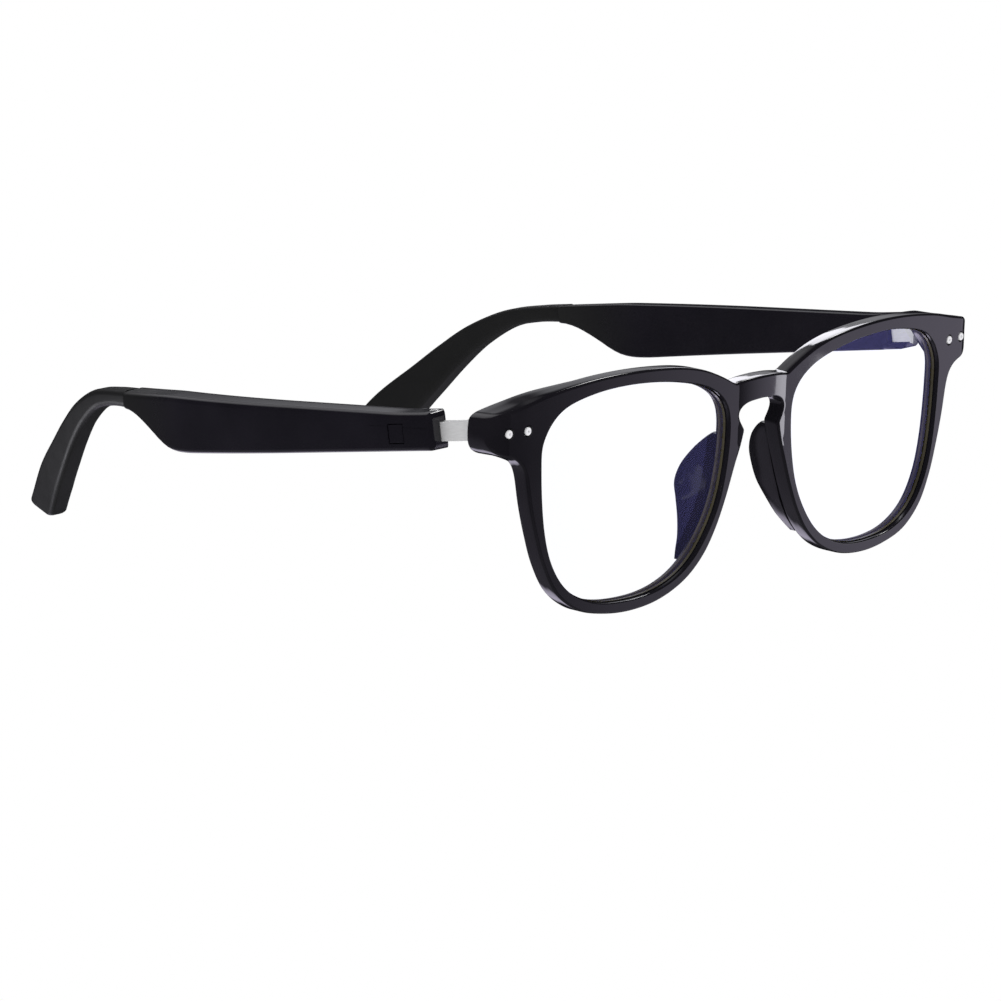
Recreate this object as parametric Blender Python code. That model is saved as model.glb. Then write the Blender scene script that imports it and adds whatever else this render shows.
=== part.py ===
"""Smart glasses: a keyhole-bridge front with plano lenses and two folding audio temples.

Frame of the part: the origin is the middle of the footprint at the level of the lowest point.
+X is the wearer's left, +Y points back towards the wearer, +Z is up. The temples run straight
back along +Y, and the front leans by the pantoscopic tilt.
The dimensions below are measured from the middle of the bridge on the front face, at the
lenses' mid-height, and one empty carries everything from there to the part's frame.
Lengths below are millimetres; MM turns them into Blender's metres when a mesh is made.
"""

import math

import bmesh
import bpy
from mathutils import Matrix, Vector
from mathutils.geometry import delaunay_2d_cdt

MM = 0.001
GAP = 0.15  # play between pieces that touch
BRIDGE_PLACE = (0.0, -71.538, 21.321)  # the bridge datum, seen from the footprint's middle

# Front: the face follows a shallow parabola, its ends wrap back a little more
TILT = math.radians(10.4)
BASE_CURVE = 0.00099  # y = BASE_CURVE * x * x
WRAP_FROM, WRAP_TO, WRAP_BACK = 64.3, 68.1, 1.6
RIM_DEPTH = 3.5
END_DROP = 0.3  # the end pieces' tops fall this much towards the seat
END_BACK = 11.0  # flat seat behind each end piece
END_RAMP, END_RAMP_UP = (45.0, 66.0), (8.5, 11.0)
END_RISE, END_RISE_FROM = 0.75, 62.0  # its thick part climbs towards the middle
BRIDGE_HALF, BRIDGE_BULGE = 6.7, 0.45
EDGE_ROUND = 0.35

# Lens and its groove
LIP_FRONT, LIP_BACK, GROOVE_DEEP = 1.35, 2.55, 0.85
LENS_FRONT, LENS_BACK, LENS_BEAD = 1.0, 2.8, 0.6

# Hinge: a tongue riveted behind the end piece, pinned inside the temple's forked end
RIVETS = ((60.2, 14.6), (64.5, 14.6))
RIVET_HEAD, RIVET_SHANK, RIVET_PROUD = 0.75, 0.5, 0.12
PLATE_X, PLATE_Z, PLATE_THICK = (58.8, 66.9), (12.9, 16.3), 0.8
TONGUE_X, TONGUE_Z, TONGUE_FROM = (64.5, 66.9), (14.4, 17.8), 8.65
PIN_X, PIN_Y, PIN_R = 65.7, 17.6, 0.5
PIN_Z, PIN_HEAD_R, PIN_HEAD_Z = (13.5, 19.9), 0.9, 19.2
FORK_DEEP = 19.1
MITRE = ((65.4, 15.4), (63.8, 17.7))  # fold clearance cut from the inner front corner

# Temple housing: straight outside, deeper to the rear, then a step up to a slim neck
OUTER_X, INNER_X, SPLIT_X = 69.5, 63.9, 65.1
HOUSING_Y = (15.4, 98.0)
COVER_Y = 20.4
WALL = 1.2
CORNER = 0.55
BEND_FROM, BEND_OVER, BEND_SLOPE = 52.3, 81.0, 0.434
UNDERSIDE = ((14.0, 13.0), (79.2, 12.9), (83.1, 13.2), (86.1, 14.2), (89.9, 17.0), (93.4, 19.25),
             (95.7, 20.4), (98.0, 20.95))
TOP_EDGE = ((14.0, 19.9), (24.0, 20.0), (53.0, 21.85), (84.0, 23.85), (98.0, 24.25))
TOP_DROP = 0.2  # the top face falls this much towards its outer edge

# Ear tip: middle of the section (y, z), its height and its thickness, along the ear bend
TIP_PATH = ((98.3, 22.6), (103.7, 22.8), (110.4, 22.2), (117.4, 19.4), (123.3, 15.5),
            (128.9, 11.1), (135.2, 6.1), (140.2, 1.3))
TIP_HEIGHT = (3.3, 3.2, 3.7, 4.8, 5.8, 7.0, 8.5, 9.0)
TIP_THICK = (5.0, 4.8, 4.5, 4.6, 4.9, 5.0, 5.1, 4.8)
TIP_CORNER = 0.9
TIP_END = ((1.6, 0.99), (2.6, 0.94), (3.1, 0.84))
TIP_SKEW, TIP_SKEW_OVER = -0.5, (130.0, 142.0)  # the last sections lean towards a slanted end
CORE_THICK, CORE_HEIGHT, CORE_INWARD = 1.2, 1.7, 0.7
CORE_Z = 22.6
CORE_LEAD = (90.0, 92.0, 94.0, 96.0)  # where the core runs inside the housing's neck

# Electronics inside each temple (y range, z range) and (outer x, inner x)
KEY_Y, KEY_Z = (22.3, 25.7), (14.55, 17.85)
KEY_PLAY, KEY_FLANGE = 0.15, 0.4
BOARD = ((21.3, 38.0), (14.3, 18.5), (66.15, 65.55))
SWITCH = ((22.5, 25.5), (14.8, 17.6), (67.35, 66.3))
MICROPHONE = ((33.4, 36.4), (14.5, 16.6), (67.3, 66.3))
BATTERY = ((39.5, 65.0), (14.5, 19.5), (67.9, 65.45))
SPEAKER = ((67.0, 78.0), (15.3, 20.8), (67.9, 65.4))
GRILLE = ((67.5, 76.5), (12.95, 14.0), (68.0, 66.0))
CONTACT_Y, CONTACT_Z, CONTACT_R = (28.0, 32.0), 16.4, 0.9

BLACK = ("gloss_black", (0.012, 0.011, 0.014), 0.12, 0.0, 0.0)
LENS_CLEAR = ("clear_lens", (0.93, 0.95, 1.0), 0.02, 0.0, 0.94)
STEEL = ("satin_steel", (0.72, 0.72, 0.73), 0.3, 1.0, 0.0)
RUBBER = ("matte_rubber", (0.022, 0.022, 0.024), 0.55, 0.0, 0.0)
GREEN = ("board_green", (0.02, 0.12, 0.05), 0.45, 0.0, 0.0)
FOIL = ("cell_foil", (0.55, 0.56, 0.58), 0.35, 0.8, 0.0)
GOLD = ("gold_plate", (0.85, 0.62, 0.25), 0.25, 1.0, 0.0)
DARK = ("dark_plastic", (0.05, 0.05, 0.055), 0.5, 0.0, 0.0)


# ---------- small helpers ----------

def clear_scene():
    for obj in list(bpy.data.objects):
        bpy.data.objects.remove(obj, do_unlink=True)


def material(finish):
    name, colour, roughness, metallic, transmission = finish
    made = bpy.data.materials.get(name) or bpy.data.materials.new(name)
    made.use_nodes = True
    shader = made.node_tree.nodes["Principled BSDF"]
    shader.inputs["Base Color"].default_value = (*colour, 1.0)
    shader.inputs["Roughness"].default_value = roughness
    shader.inputs["Metallic"].default_value = metallic
    shader.inputs["Transmission Weight"].default_value = transmission
    return made


def add_object(name, mesh_builder, finish, parent, smooth=35.0):
    """An object from a bmesh in millimetres; its origin goes to its parent's."""
    mesh = bpy.data.meshes.new(name)
    bmesh.ops.recalc_face_normals(mesh_builder, faces=mesh_builder.faces)
    origin = parent.matrix_world.translation / MM - Vector(BRIDGE_PLACE)
    for vertex in mesh_builder.verts:
        vertex.co = (vertex.co - origin) * MM
    mesh_builder.to_mesh(mesh)
    mesh_builder.free()
    obj = bpy.data.objects.new(name, mesh)
    bpy.context.scene.collection.objects.link(obj)
    obj.parent = parent
    if finish:
        mesh.materials.append(material(finish))
        mesh.shade_smooth()
        mesh.set_sharp_from_angle(angle=math.radians(smooth))
    return obj


def add_empty(name, place, parent=None):
    empty = bpy.data.objects.new(name, None)
    bpy.context.scene.collection.objects.link(empty)
    empty.parent = parent
    empty.location = Vector(place) * MM
    bpy.context.view_layer.update()
    return empty


def cut(obj, cutter, operation="DIFFERENCE"):
    """Adds a Boolean with a hidden tool object."""
    cutter.hide_render = True
    cutter.display_type = "WIRE"
    modifier = obj.modifiers.new(cutter.name, "BOOLEAN")
    modifier.operation = operation
    modifier.object = cutter
    modifier.solver = "EXACT"


def round_edges(obj, width, segments=2, limit=40.0):
    modifier = obj.modifiers.new("edge rounding", "BEVEL")
    modifier.width = width * MM
    modifier.segments = segments
    modifier.limit_method = "ANGLE"
    modifier.angle_limit = math.radians(limit)
    modifier.use_clamp_overlap = True


def loft(rings):
    """A closed bmesh through rings of points, with its two ends capped."""
    made = bmesh.new()
    rows = [[made.verts.new(point) for point in ring] for ring in rings]
    count = len(rings[0])
    for row, after in zip(rows, rows[1:]):
        for i in range(count):
            j = (i + 1) % count
            made.faces.new((row[i], row[j], after[j], after[i]))
    made.faces.new(rows[0])
    made.faces.new(reversed(rows[-1]))
    return made


def box(x, y, z):
    """A closed bmesh box between pairs of limits."""
    made = bmesh.new()
    bmesh.ops.create_cube(made, size=1.0)
    for vertex in made.verts:
        vertex.co = Vector([sum(span) / 2 + side * abs(span[1] - span[0])
                            for side, span in zip(vertex.co, (x, y, z))])
    return made


def rod(steps, segments=20):
    """A closed turned bmesh along +Z from (radius, z) steps, z rising."""
    rings = []
    for radius, z in steps:
        ring = []
        for i in range(segments):
            angle = 2 * math.pi * i / segments
            ring.append((radius * math.cos(angle), radius * math.sin(angle), z))
        rings.append(ring)
    return loft(rings)


def moved(mesh_builder, matrix):
    bmesh.ops.transform(mesh_builder, matrix=matrix, verts=mesh_builder.verts)
    return mesh_builder


def flow(points, per_span=4, closed=False):
    """Points along a smooth curve through the given ones."""
    count = len(points)
    spans = count if closed else count - 1
    found = []
    for i in range(spans):
        around = [points[(i + k) % count] if closed else points[min(max(i + k, 0), count - 1)]
                  for k in (-1, 0, 1, 2)]
        a, b, c, d = (Vector(point) for point in around)
        for step in range(per_span):
            t = step / per_span
            bent = 2 * b + (c - a) * t + (2 * a - 5 * b + 4 * c - d) * t * t
            found.append((bent + (3 * b - a - 3 * c + d) * t ** 3) / 2)
    if not closed:
        found.append(Vector(points[-1]))
    return found


def ramp(value, start, end):
    t = min(max((value - start) / (end - start), 0.0), 1.0)
    return t * t * (3 - 2 * t)


def between(value, table):
    """Straight-line reading of a table of (input, output) rows."""
    for (low, first), (high, second) in zip(table, table[1:]):
        if value <= high:
            return first + (second - first) * max(value - low, 0.0) / (high - low)
    return table[-1][1]


# ---------- front ----------

def face_y(x, z=0.0):
    """How far back the front face lies at x, the same at every height z."""
    side = abs(x)
    back = BASE_CURVE * side * side
    if side > WRAP_FROM:
        back += WRAP_BACK * ((side - WRAP_FROM) / (WRAP_TO - WRAP_FROM)) ** 2
    if side < BRIDGE_HALF:
        back -= BRIDGE_BULGE * (1 - (side / BRIDGE_HALF) ** 2)
    return back


def end_share(x, z):
    """How much of the end piece there is at a point: 0 on the rims, 1 at the hinge seat."""
    rise = END_RISE * max(END_RISE_FROM - abs(x), 0.0)
    return ramp(abs(x), *END_RAMP) * ramp(z - rise, *END_RAMP_UP)


def back_y(x, z=0.0):
    """How far back the rear face lies: one depth for the rims, a flat seat at the end pieces."""
    rim = BASE_CURVE * x * x + RIM_DEPTH
    return rim + (END_BACK - rim) * end_share(x, z)


def lens_outline():
    """The right-hand lens opening (x, z), a closed round-cornered shape."""
    return flow([(56.6, 6.5), (56.1, 12.4), (52.0, 17.1), (44.0, 19.25), (34.0, 19.7),
                 (23.5, 18.75), (14.6, 16.4), (9.7, 12.2), (8.95, 5.5), (10.7, -4.0),
                 (14.45, -11.1), (19.5, -16.1), (26.0, -18.9), (34.0, -19.8), (42.5, -19.0),
                 (49.1, -16.0), (53.35, -10.7), (55.6, -3.5)], per_span=3, closed=True)


def half_outline():
    """The outer edge of the front from the middle of the bridge, over the top and back under."""
    top_of_bridge = flow([(0.0, 16.8), (4.0, 16.65), (7.4, 16.2)], 3)
    top_of_rim = flow([(7.4, 16.2), (11.5, 18.2), (17.0, 20.15), (24.0, 21.4), (34.0, 22.0),
                       (44.0, 21.75), (54.0, 20.6), (61.0, 19.1), (66.3, 18.1)], 2)
    end_piece = flow([(66.3, 18.1), (67.6, 17.5), (68.1, 16.3), (68.1, 13.3), (67.3, 11.6),
                      (65.6, 10.6)], 2)
    under = flow([(65.6, 10.6), (63.2, 9.95), (61.3, 8.6), (60.1, 6.2), (58.95, 0.6),
                  (57.4, -5.0), (55.35, -10.7), (52.1, -16.0), (46.8, -19.8), (40.0, -21.5),
                  (33.0, -21.9), (26.0, -21.0), (19.6, -18.5), (14.9, -14.8), (11.6, -10.2),
                  (9.1, -5.0), (7.1, 0.2), (5.6, 4.2), (4.7, 7.4)], 2)
    keyhole = flow([(4.7, 7.4), (5.9, 9.2), (6.2, 10.5), (5.5, 11.5), (3.6, 12.3),
                    (0.0, 12.6)], 2)
    return top_of_bridge + top_of_rim[1:] + end_piece[1:] + under[1:] + keyhole[1:]


def offset(outline, distance):
    """A closed outline moved outwards, for one that runs either way round."""
    count = len(outline)
    area = sum(outline[i].x * outline[(i + 1) % count].y - outline[(i + 1) % count].x * outline[i].y
               for i in range(count))
    turn = 1 if area > 0 else -1
    moved_points = []
    for i, point in enumerate(outline):
        along = (outline[(i + 1) % count] - outline[i - 1]).normalized()
        moved_points.append(point + turn * distance * Vector((along.y, -along.x)))
    return moved_points


def inside(point, outline):
    """True when a point is inside a closed outline."""
    crossings = 0
    for a, b in zip(outline, outline[1:] + outline[:1]):
        if (a.y > point.y) != (b.y > point.y):
            crossings += point.x < a.x + (b.x - a.x) * (point.y - a.y) / (b.y - a.y)
    return crossings % 2 == 1


def support_points(outer, holes, spacing, clearance):
    """A grid of points within the sheet, kept off its edges."""
    edge_points = [point for loop in (outer, *holes) for point in loop]
    reach_x = max(point.x for point in outer)
    low_x = min(point.x for point in outer)
    low_z, high_z = min(p.y for p in outer), max(p.y for p in outer)
    found = []
    for i in range(1, int((reach_x - low_x) / spacing)):
        for j in range(1, int((high_z - low_z) / spacing)):
            point = Vector((low_x + i * spacing, low_z + j * spacing))
            if not inside(point, outer) or any(inside(point, hole) for hole in holes):
                continue
            if min((point - edge).length for edge in edge_points) > clearance:
                found.append(point)
    return found


def sheet(outer, holes, extra):
    """Triangles over an outline with holes: its points and its faces."""
    points, edges = [], []
    for loop in (outer, *holes):
        start = len(points)
        points += loop
        edges += [(start + i, start + (i + 1) % len(loop)) for i in range(len(loop))]
    made = delaunay_2d_cdt(points + extra, edges, [], 1, 1e-6)
    verts, faces = made[0], made[2]
    kept = []
    for face in faces:
        middle = sum((verts[i] for i in face), Vector((0.0, 0.0))) / len(face)
        if inside(middle, outer) and not any(inside(middle, hole) for hole in holes):
            kept.append(face)
    return verts, kept, len(points)


def add_sheet(made, flat, faces, depth):
    """One triangulated skin of the front or of a lens, placed by a depth rule."""
    row = [made.verts.new((point.x, depth(point.x, point.y), point.y)) for point in flat]
    for face in faces:
        made.faces.new([row[i] for i in face])
    return row


def add_wall(made, loops):
    """Quads between successive loops of vertices."""
    for loop, after in zip(loops, loops[1:]):
        for i in range(len(loop)):
            j = (i + 1) % len(loop)
            made.faces.new((loop[i], loop[j], after[j], after[i]))


def front_builder():
    half = half_outline()
    outer = half + [Vector((-point.x, point.y)) for point in half[-2:0:-1]]
    right_hole = lens_outline()
    left_hole = [Vector((-point.x, point.y)) for point in right_hole]
    holes = [right_hole, left_hole]
    grid = support_points(outer, holes, 3.2, 1.2)
    flat, faces, edge_count = sheet(outer, holes, grid)
    made = bmesh.new()
    front = add_sheet(made, flat, faces, face_y)
    back = add_sheet(made, flat, faces, back_y)
    for vertex in back:
        vertex.co.z -= END_DROP * end_share(vertex.co.x, vertex.co.z)
    add_wall(made, [front[:len(outer)], back[:len(outer)]])
    start = len(outer)
    for hole in holes:
        grown = offset(hole, GROOVE_DEEP)
        levels = ((hole, LIP_FRONT), (grown, LIP_FRONT), (grown, LIP_BACK), (hole, LIP_BACK))
        loops = [front[start:start + len(hole)]]
        for points, depth in levels:
            loops.append([made.verts.new((p.x, BASE_CURVE * p.x ** 2 + depth, p.y))
                          for p in points])
        loops.append(back[start:start + len(hole)])
        add_wall(made, loops)
        start += len(hole)
    sharp_loops = [front[:len(outer)], back[:len(outer)]]
    weights = made.edges.layers.float.new("bevel_weight_edge")
    for loop in sharp_loops:
        for a, b in zip(loop, loop[1:] + loop[:1]):
            made.edges.get((a, b))[weights] = 1.0
    return made


def add_front(parent):
    obj = add_object("front_frame", front_builder(), BLACK, parent, 30.0)
    rounding = obj.modifiers.new("edge rounding", "BEVEL")
    rounding.width = EDGE_ROUND * MM
    rounding.segments = 2
    rounding.limit_method = "WEIGHT"
    rounding.use_clamp_overlap = True
    for side in (-1, 1):
        for index, (x, z) in enumerate(RIVETS):
            drill = rod(((RIVET_SHANK + GAP, 1.0), (RIVET_SHANK + GAP, 12.0)), 12)
            turned = Matrix.Translation((side * x, 0, z)) @ Matrix.Rotation(-math.pi / 2, 4, "X")
            cut(obj, add_object(f"rivet_drill_{side}_{index}", moved(drill, turned), None, parent))


def add_lens(name, side, parent):
    outline = [Vector((side * p.x, p.y)) for p in lens_outline()]
    rim = offset(outline, -GAP - 0.05)
    bead = offset(outline, LENS_BEAD)
    grid = support_points(rim, [], 5.0, 2.0)
    flat, faces, edge_count = sheet(rim, [], grid)
    made = bmesh.new()
    front = add_sheet(made, flat, faces, lambda x, z: BASE_CURVE * x * x + LENS_FRONT)
    back = add_sheet(made, flat, faces, lambda x, z: BASE_CURVE * x * x + LENS_BACK)
    loops = [front[:edge_count]]
    for edge, depth in ((rim, LIP_FRONT + 0.2), (bead, LIP_FRONT + 0.3),
                        (bead, LIP_BACK - 0.3), (rim, LIP_BACK - 0.2)):
        loops.append([made.verts.new((p.x, BASE_CURVE * p.x ** 2 + depth, p.y)) for p in edge])
    loops.append(back[:edge_count])
    add_wall(made, loops)
    add_object(name, made, LENS_CLEAR, parent, 50.0)


def add_nose_pad(name, side, parent):
    """A moulded wing bonded behind the nasal side of a rim, widest a third of the way down."""
    # z, nasal edge x, lens-side edge x, rear edge x, rear edge y
    sections = ((6.4, 5.6, 8.3, 7.0, 5.4), (5.2, 5.7, 8.6, 7.4, 7.0), (3.0, 6.5, 8.9, 8.4, 9.0),
                (0.0, 7.5, 9.3, 9.9, 10.6), (-3.0, 8.5, 10.0, 11.1, 10.9),
                (-6.0, 9.7, 11.2, 11.6, 10.0), (-9.0, 10.9, 12.9, 12.6, 8.6),
                (-12.0, 12.8, 14.9, 14.0, 7.2), (-14.2, 14.6, 16.6, 15.6, 6.1),
                (-15.6, 16.0, 17.6, 16.7, 5.2))
    rings = []
    for z, nasal, lens_side, rear_x, rear_y in sections:
        seat = back_y(nasal) + GAP
        reach = rear_y - seat
        half = 0.75
        corners = ((nasal, seat), (nasal + 0.35 * (rear_x - half - nasal), seat + 0.5 * reach),
                   (rear_x - half, seat + 0.88 * reach), (rear_x - 0.1, rear_y),
                   (rear_x + half, seat + 0.86 * reach),
                   (lens_side + 0.5 * (rear_x + half - lens_side), seat + 0.45 * reach),
                   (lens_side, back_y(lens_side) + GAP))
        rings.append([(side * x, y, z) for x, y in corners])
    pad = add_object(name, loft(rings), BLACK, parent, 60.0)
    round_edges(pad, 0.3, 2, 50.0)


def add_hinge_front(prefix, side, tilt):
    """The riveted plate leans with the front; its tongue lies level in the temple's plane."""
    seat = END_BACK + GAP
    plate = box((side * PLATE_X[0], side * PLATE_X[1]), (seat, seat + PLATE_THICK), PLATE_Z)
    plate = moved(plate, tilt.matrix_basis)
    tongue = tongue_builder(side)
    datum = tilt.parent
    obj = add_object(f"{prefix}_hinge_tongue", tongue, STEEL, datum)
    cut(obj, add_object(f"{prefix}_plate_tool", plate, None, datum), "UNION")
    eye = rod(((PIN_R + 0.08, 12.0), (PIN_R + 0.08, 22.0)), 16)
    eye = moved(eye, Matrix.Translation((side * PIN_X, PIN_Y, 0)))
    cut(obj, add_object(f"{prefix}_eye_tool", eye, None, datum))
    turn = Matrix.Rotation(-math.pi / 2, 4, "X")
    for index, (x, z) in enumerate(RIVETS):
        front = BASE_CURVE * x * x
        drill = rod(((RIVET_SHANK + 0.1, front), (RIVET_SHANK + 0.1, seat + 0.7)), 12)
        place = tilt.matrix_basis @ Matrix.Translation((side * x, 0, z)) @ turn
        cut(obj, add_object(f"{prefix}_plate_drill_{index}", moved(drill, place), None, datum))
        steps = ((RIVET_HEAD * 0.6, front - RIVET_PROUD), (RIVET_HEAD, front - RIVET_PROUD + 0.1),
                 (RIVET_HEAD, front + 0.45), (RIVET_SHANK, front + 0.45),
                 (RIVET_SHANK, seat + 0.6))
        rivet = moved(rod(steps, 16), Matrix.Translation((side * x, 0, z)) @ turn)
        name = f"{prefix}_{('inner', 'outer')[index]}_rivet"
        add_object(name, rivet, STEEL, tilt)


def tongue_builder(side):
    """A flat bar with a half-round end about the pin."""
    half = (TONGUE_X[1] - TONGUE_X[0]) / 2
    outline = [(PIN_X - half, TONGUE_FROM), (PIN_X + half, TONGUE_FROM)]
    for i in range(13):
        angle = math.pi * i / 12
        outline.append((PIN_X + half * math.cos(angle), PIN_Y + half * math.sin(angle)))
    rings = [[(side * x, y, z) for x, y in outline] for z in TONGUE_Z]
    return loft(rings)


def counterbore_front(front_obj, parent):
    """A shallow seat for each rivet head."""
    turn = Matrix.Rotation(-math.pi / 2, 4, "X")
    for side in (-1, 1):
        for index, (x, z) in enumerate(RIVETS):
            front = BASE_CURVE * x * x
            seat = rod(((RIVET_HEAD + 0.1, front - 2.0), (RIVET_HEAD + 0.1, front + 0.6)), 16)
            seat = moved(seat, Matrix.Translation((side * x, 0, z)) @ turn)
            cut(front_obj, add_object(f"rivet_seat_{side}_{index}", seat, None, parent))


# ---------- temples ----------

def bend(y):
    """How far the temple has curved inwards at y."""
    run = max(y - BEND_FROM, 0.0)
    if run < BEND_OVER:
        return BEND_SLOPE * run * run / (2 * BEND_OVER)
    return BEND_SLOPE * (run - BEND_OVER / 2)


def soft_section(outer, inner, low, high, corner, side, y):
    """A rectangle in x and z with bevelled corners, placed at y and carried by the bend."""
    corner = min(corner, abs(outer - inner) / 2.2, (high - low) / 2.2)
    near = corner * 0.3
    edge = high - TOP_DROP if outer == OUTER_X else high
    points = ((outer, low + corner), (outer, edge - corner), (outer - near, edge - near),
              (outer - corner, edge), (inner + corner, high), (inner + near, high - near),
              (inner, high - corner), (inner, low + corner), (inner + near, low + near),
              (inner + corner, low), (outer - corner, low), (outer - near, low + near))
    return [(side * (x - bend(y)), y, z) for x, z in points]


def stations(start, end):
    """Where sections stand along the housing: close together where it curves."""
    marks = [start, 22.0, 38.0, 53.0, 64.0, 68.0, 72.0, 76.0]
    marks += [79.0 + 1.9 * i for i in range(10)]
    return [y for y in marks if start <= y < end - 0.4] + [end]


def housing_rings(side, start, end, outer, inner, inset, corner):
    rings = []
    for y in stations(start, end):
        low = between(y, UNDERSIDE) + inset
        high = between(y, TOP_EDGE) - inset
        rings.append(soft_section(outer, inner, low, high, corner, side, y))
    return rings


def shell_builder(side):
    rings = housing_rings(side, HOUSING_Y[0] + 0.5, HOUSING_Y[1], OUTER_X, INNER_X, 0.0, CORNER)
    y = HOUSING_Y[0]
    low, high = between(y, UNDERSIDE) + 0.4, between(y, TOP_EDGE) - 0.4
    nose = soft_section(OUTER_X - 0.4, INNER_X + 0.4, low, high, CORNER, side, y)
    return loft([nose] + rings)


def side_box(side, outer, inner, y, z):
    """A box between two distances from the middle, carried by the temple's bend."""
    made = box((side * outer, side * inner), y, z)
    for vertex in made.verts:
        vertex.co.x -= side * bend(vertex.co.y)
    return made


def mitre_builder(side):
    (near_x, near_y), (far_x, far_y) = MITRE
    corners = ((near_x, near_y - 3), (near_x, near_y), (far_x, far_y), (far_x - 2, far_y),
               (far_x - 2, near_y - 3))
    return loft([[(side * x, y, z) for x, y in corners] for z in (10.0, 26.0)])


def cavity_rings(side, start, end, outer, inner, inset):
    rings = []
    for y in stations(start, end):
        low, high = between(y, UNDERSIDE) + inset, between(y, TOP_EDGE) - inset
        corners = ((outer, low), (outer, high), (inner, high), (inner, low))
        rings.append([(side * (x - bend(y)), y, z) for x, z in corners])
    return rings


def add_shell(prefix, side, hinge):
    shell = add_object(f"{prefix}_temple_shell", shell_builder(side), BLACK, hinge, 30.0)
    open_side = INNER_X - 3.0
    tools = {
        "recess": loft(cavity_rings(side, COVER_Y - GAP, HOUSING_Y[1] + 2, SPLIT_X, open_side, -3.0)),
        "cavity": loft(cavity_rings(side, 21.0, 82.0, OUTER_X - WALL, open_side, WALL - 0.1)),
        "fork": side_box(side, TONGUE_X[1] + 0.2, open_side, (10.0, FORK_DEEP),
                         (TONGUE_Z[0] - GAP, TONGUE_Z[1] + GAP)),
        "mitre": mitre_builder(side),
        "screw_hole": moved(rod(((PIN_R + 0.1, 13.5), (PIN_R + 0.1, 25.0)), 16),
                            Matrix.Translation((side * PIN_X, PIN_Y, 0))),
        "screw_seat": moved(rod(((PIN_HEAD_R + 0.15, PIN_HEAD_Z - 0.1),
                                 (PIN_HEAD_R + 0.15, 25.0)), 20),
                            Matrix.Translation((side * PIN_X, PIN_Y, 0))),
        "key_window": side_box(side, OUTER_X + 1, OUTER_X - WALL - 0.5,
                               (KEY_Y[0] - KEY_PLAY, KEY_Y[1] + KEY_PLAY),
                               (KEY_Z[0] - KEY_PLAY, KEY_Z[1] + KEY_PLAY)),
        "sound_slot": side_box(side, GRILLE[2][0] + GAP, GRILLE[2][1] - GAP,
                               (GRILLE[0][0] - GAP, GRILLE[0][1] + GAP), (11.0, 14.6)),
        "microphone_port": moved(rod(((0.45, 11.0), (0.45, 14.5)), 12),
                                 Matrix.Translation((side * 66.8, 35.0, 0))),
        "core_channel": loft([[(side * (x - bend(y)), y, z) for x, z in
                               ((66.85, CORE_Z - 1.1), (66.85, CORE_Z + 1.1),
                                (open_side, CORE_Z + 1.1), (open_side, CORE_Z - 1.1))]
                              for y in (88.5, 91.0, 94.0, 97.0, 99.0)]),
    }
    for name, builder in tools.items():
        cut(shell, add_object(f"{prefix}_{name}_tool", builder, None, hinge))


def add_cover(prefix, side, hinge):
    """The inner cover: a slim plate that closes the housing's open side."""
    rings = housing_rings(side, COVER_Y, HOUSING_Y[1], SPLIT_X - GAP, INNER_X, 0.0, 0.45)
    cover = add_object(f"{prefix}_temple_cover", loft(rings), BLACK, hinge, 30.0)
    for index, y in enumerate(CONTACT_Y):
        turn = Matrix.Rotation(math.pi / 2, 4, "Y")
        hole = rod(((CONTACT_R + GAP, 60.0), (CONTACT_R + GAP, 68.0)), 20)
        hole = moved(hole, Matrix.Translation((0, y, CONTACT_Z)) @ turn)
        if side < 0:
            hole = moved(hole, Matrix.Translation((-128.0, 0, 0)))
        cut(cover, add_object(f"{prefix}_contact_hole_{index}", hole, None, hinge))
        pin = rod(((CONTACT_R, INNER_X - 0.02), (CONTACT_R, SPLIT_X + 0.2)), 20)
        pin = moved(pin, Matrix.Translation((0, y, CONTACT_Z)) @ turn)
        if side < 0:
            pin = moved(pin, Matrix.Diagonal((-1, 1, 1, 1)))
        where = ("front", "rear")[index]
        add_object(f"{prefix}_{where}_charge_contact", pin, GOLD, hinge)


def tip_frames():
    """Middle, direction, height and thickness of the ear tip along its bend."""
    rows = [(y, z, h, t) for (y, z), h, t in zip(TIP_PATH, TIP_HEIGHT, TIP_THICK)]
    path = flow([Vector(row) for row in rows], 2)
    frames = []
    for i, row in enumerate(path):
        after, before = path[min(i + 1, len(path) - 1)], path[max(i - 1, 0)]
        slope = math.atan2(after[1] - before[1], after[0] - before[0])
        frames.append((row[0], row[1], slope, row[2], row[3]))
    return frames


def tip_ring(frame, side, height, thick, corner, shift=0.0, skew=0.0):
    """A rectangular section with bevelled corners; skew leans it along the path."""
    y, z, slope, _, _ = frame
    middle = (OUTER_X + INNER_X) / 2 - bend(y) - shift
    wide, tall = thick / 2, height / 2
    near = corner * 0.3
    quarter = ((wide, tall - corner), (wide - near, tall - near), (wide - corner, tall))
    turned = [(-a, b) for a, b in reversed(quarter)]
    flipped = [(-a, -b) for a, b in quarter]
    ring = []
    for across, up in (*quarter, *turned, *flipped, *[(a, -b) for a, b in reversed(quarter)]):
        back = skew * up
        lean = -math.sin(slope) * up - math.cos(slope) * back
        along = bend(y) - bend(y + lean)
        rise = math.cos(slope) * up - math.sin(slope) * back
        ring.append((side * (middle + across + along), y + lean, z + rise))
    return ring


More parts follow.
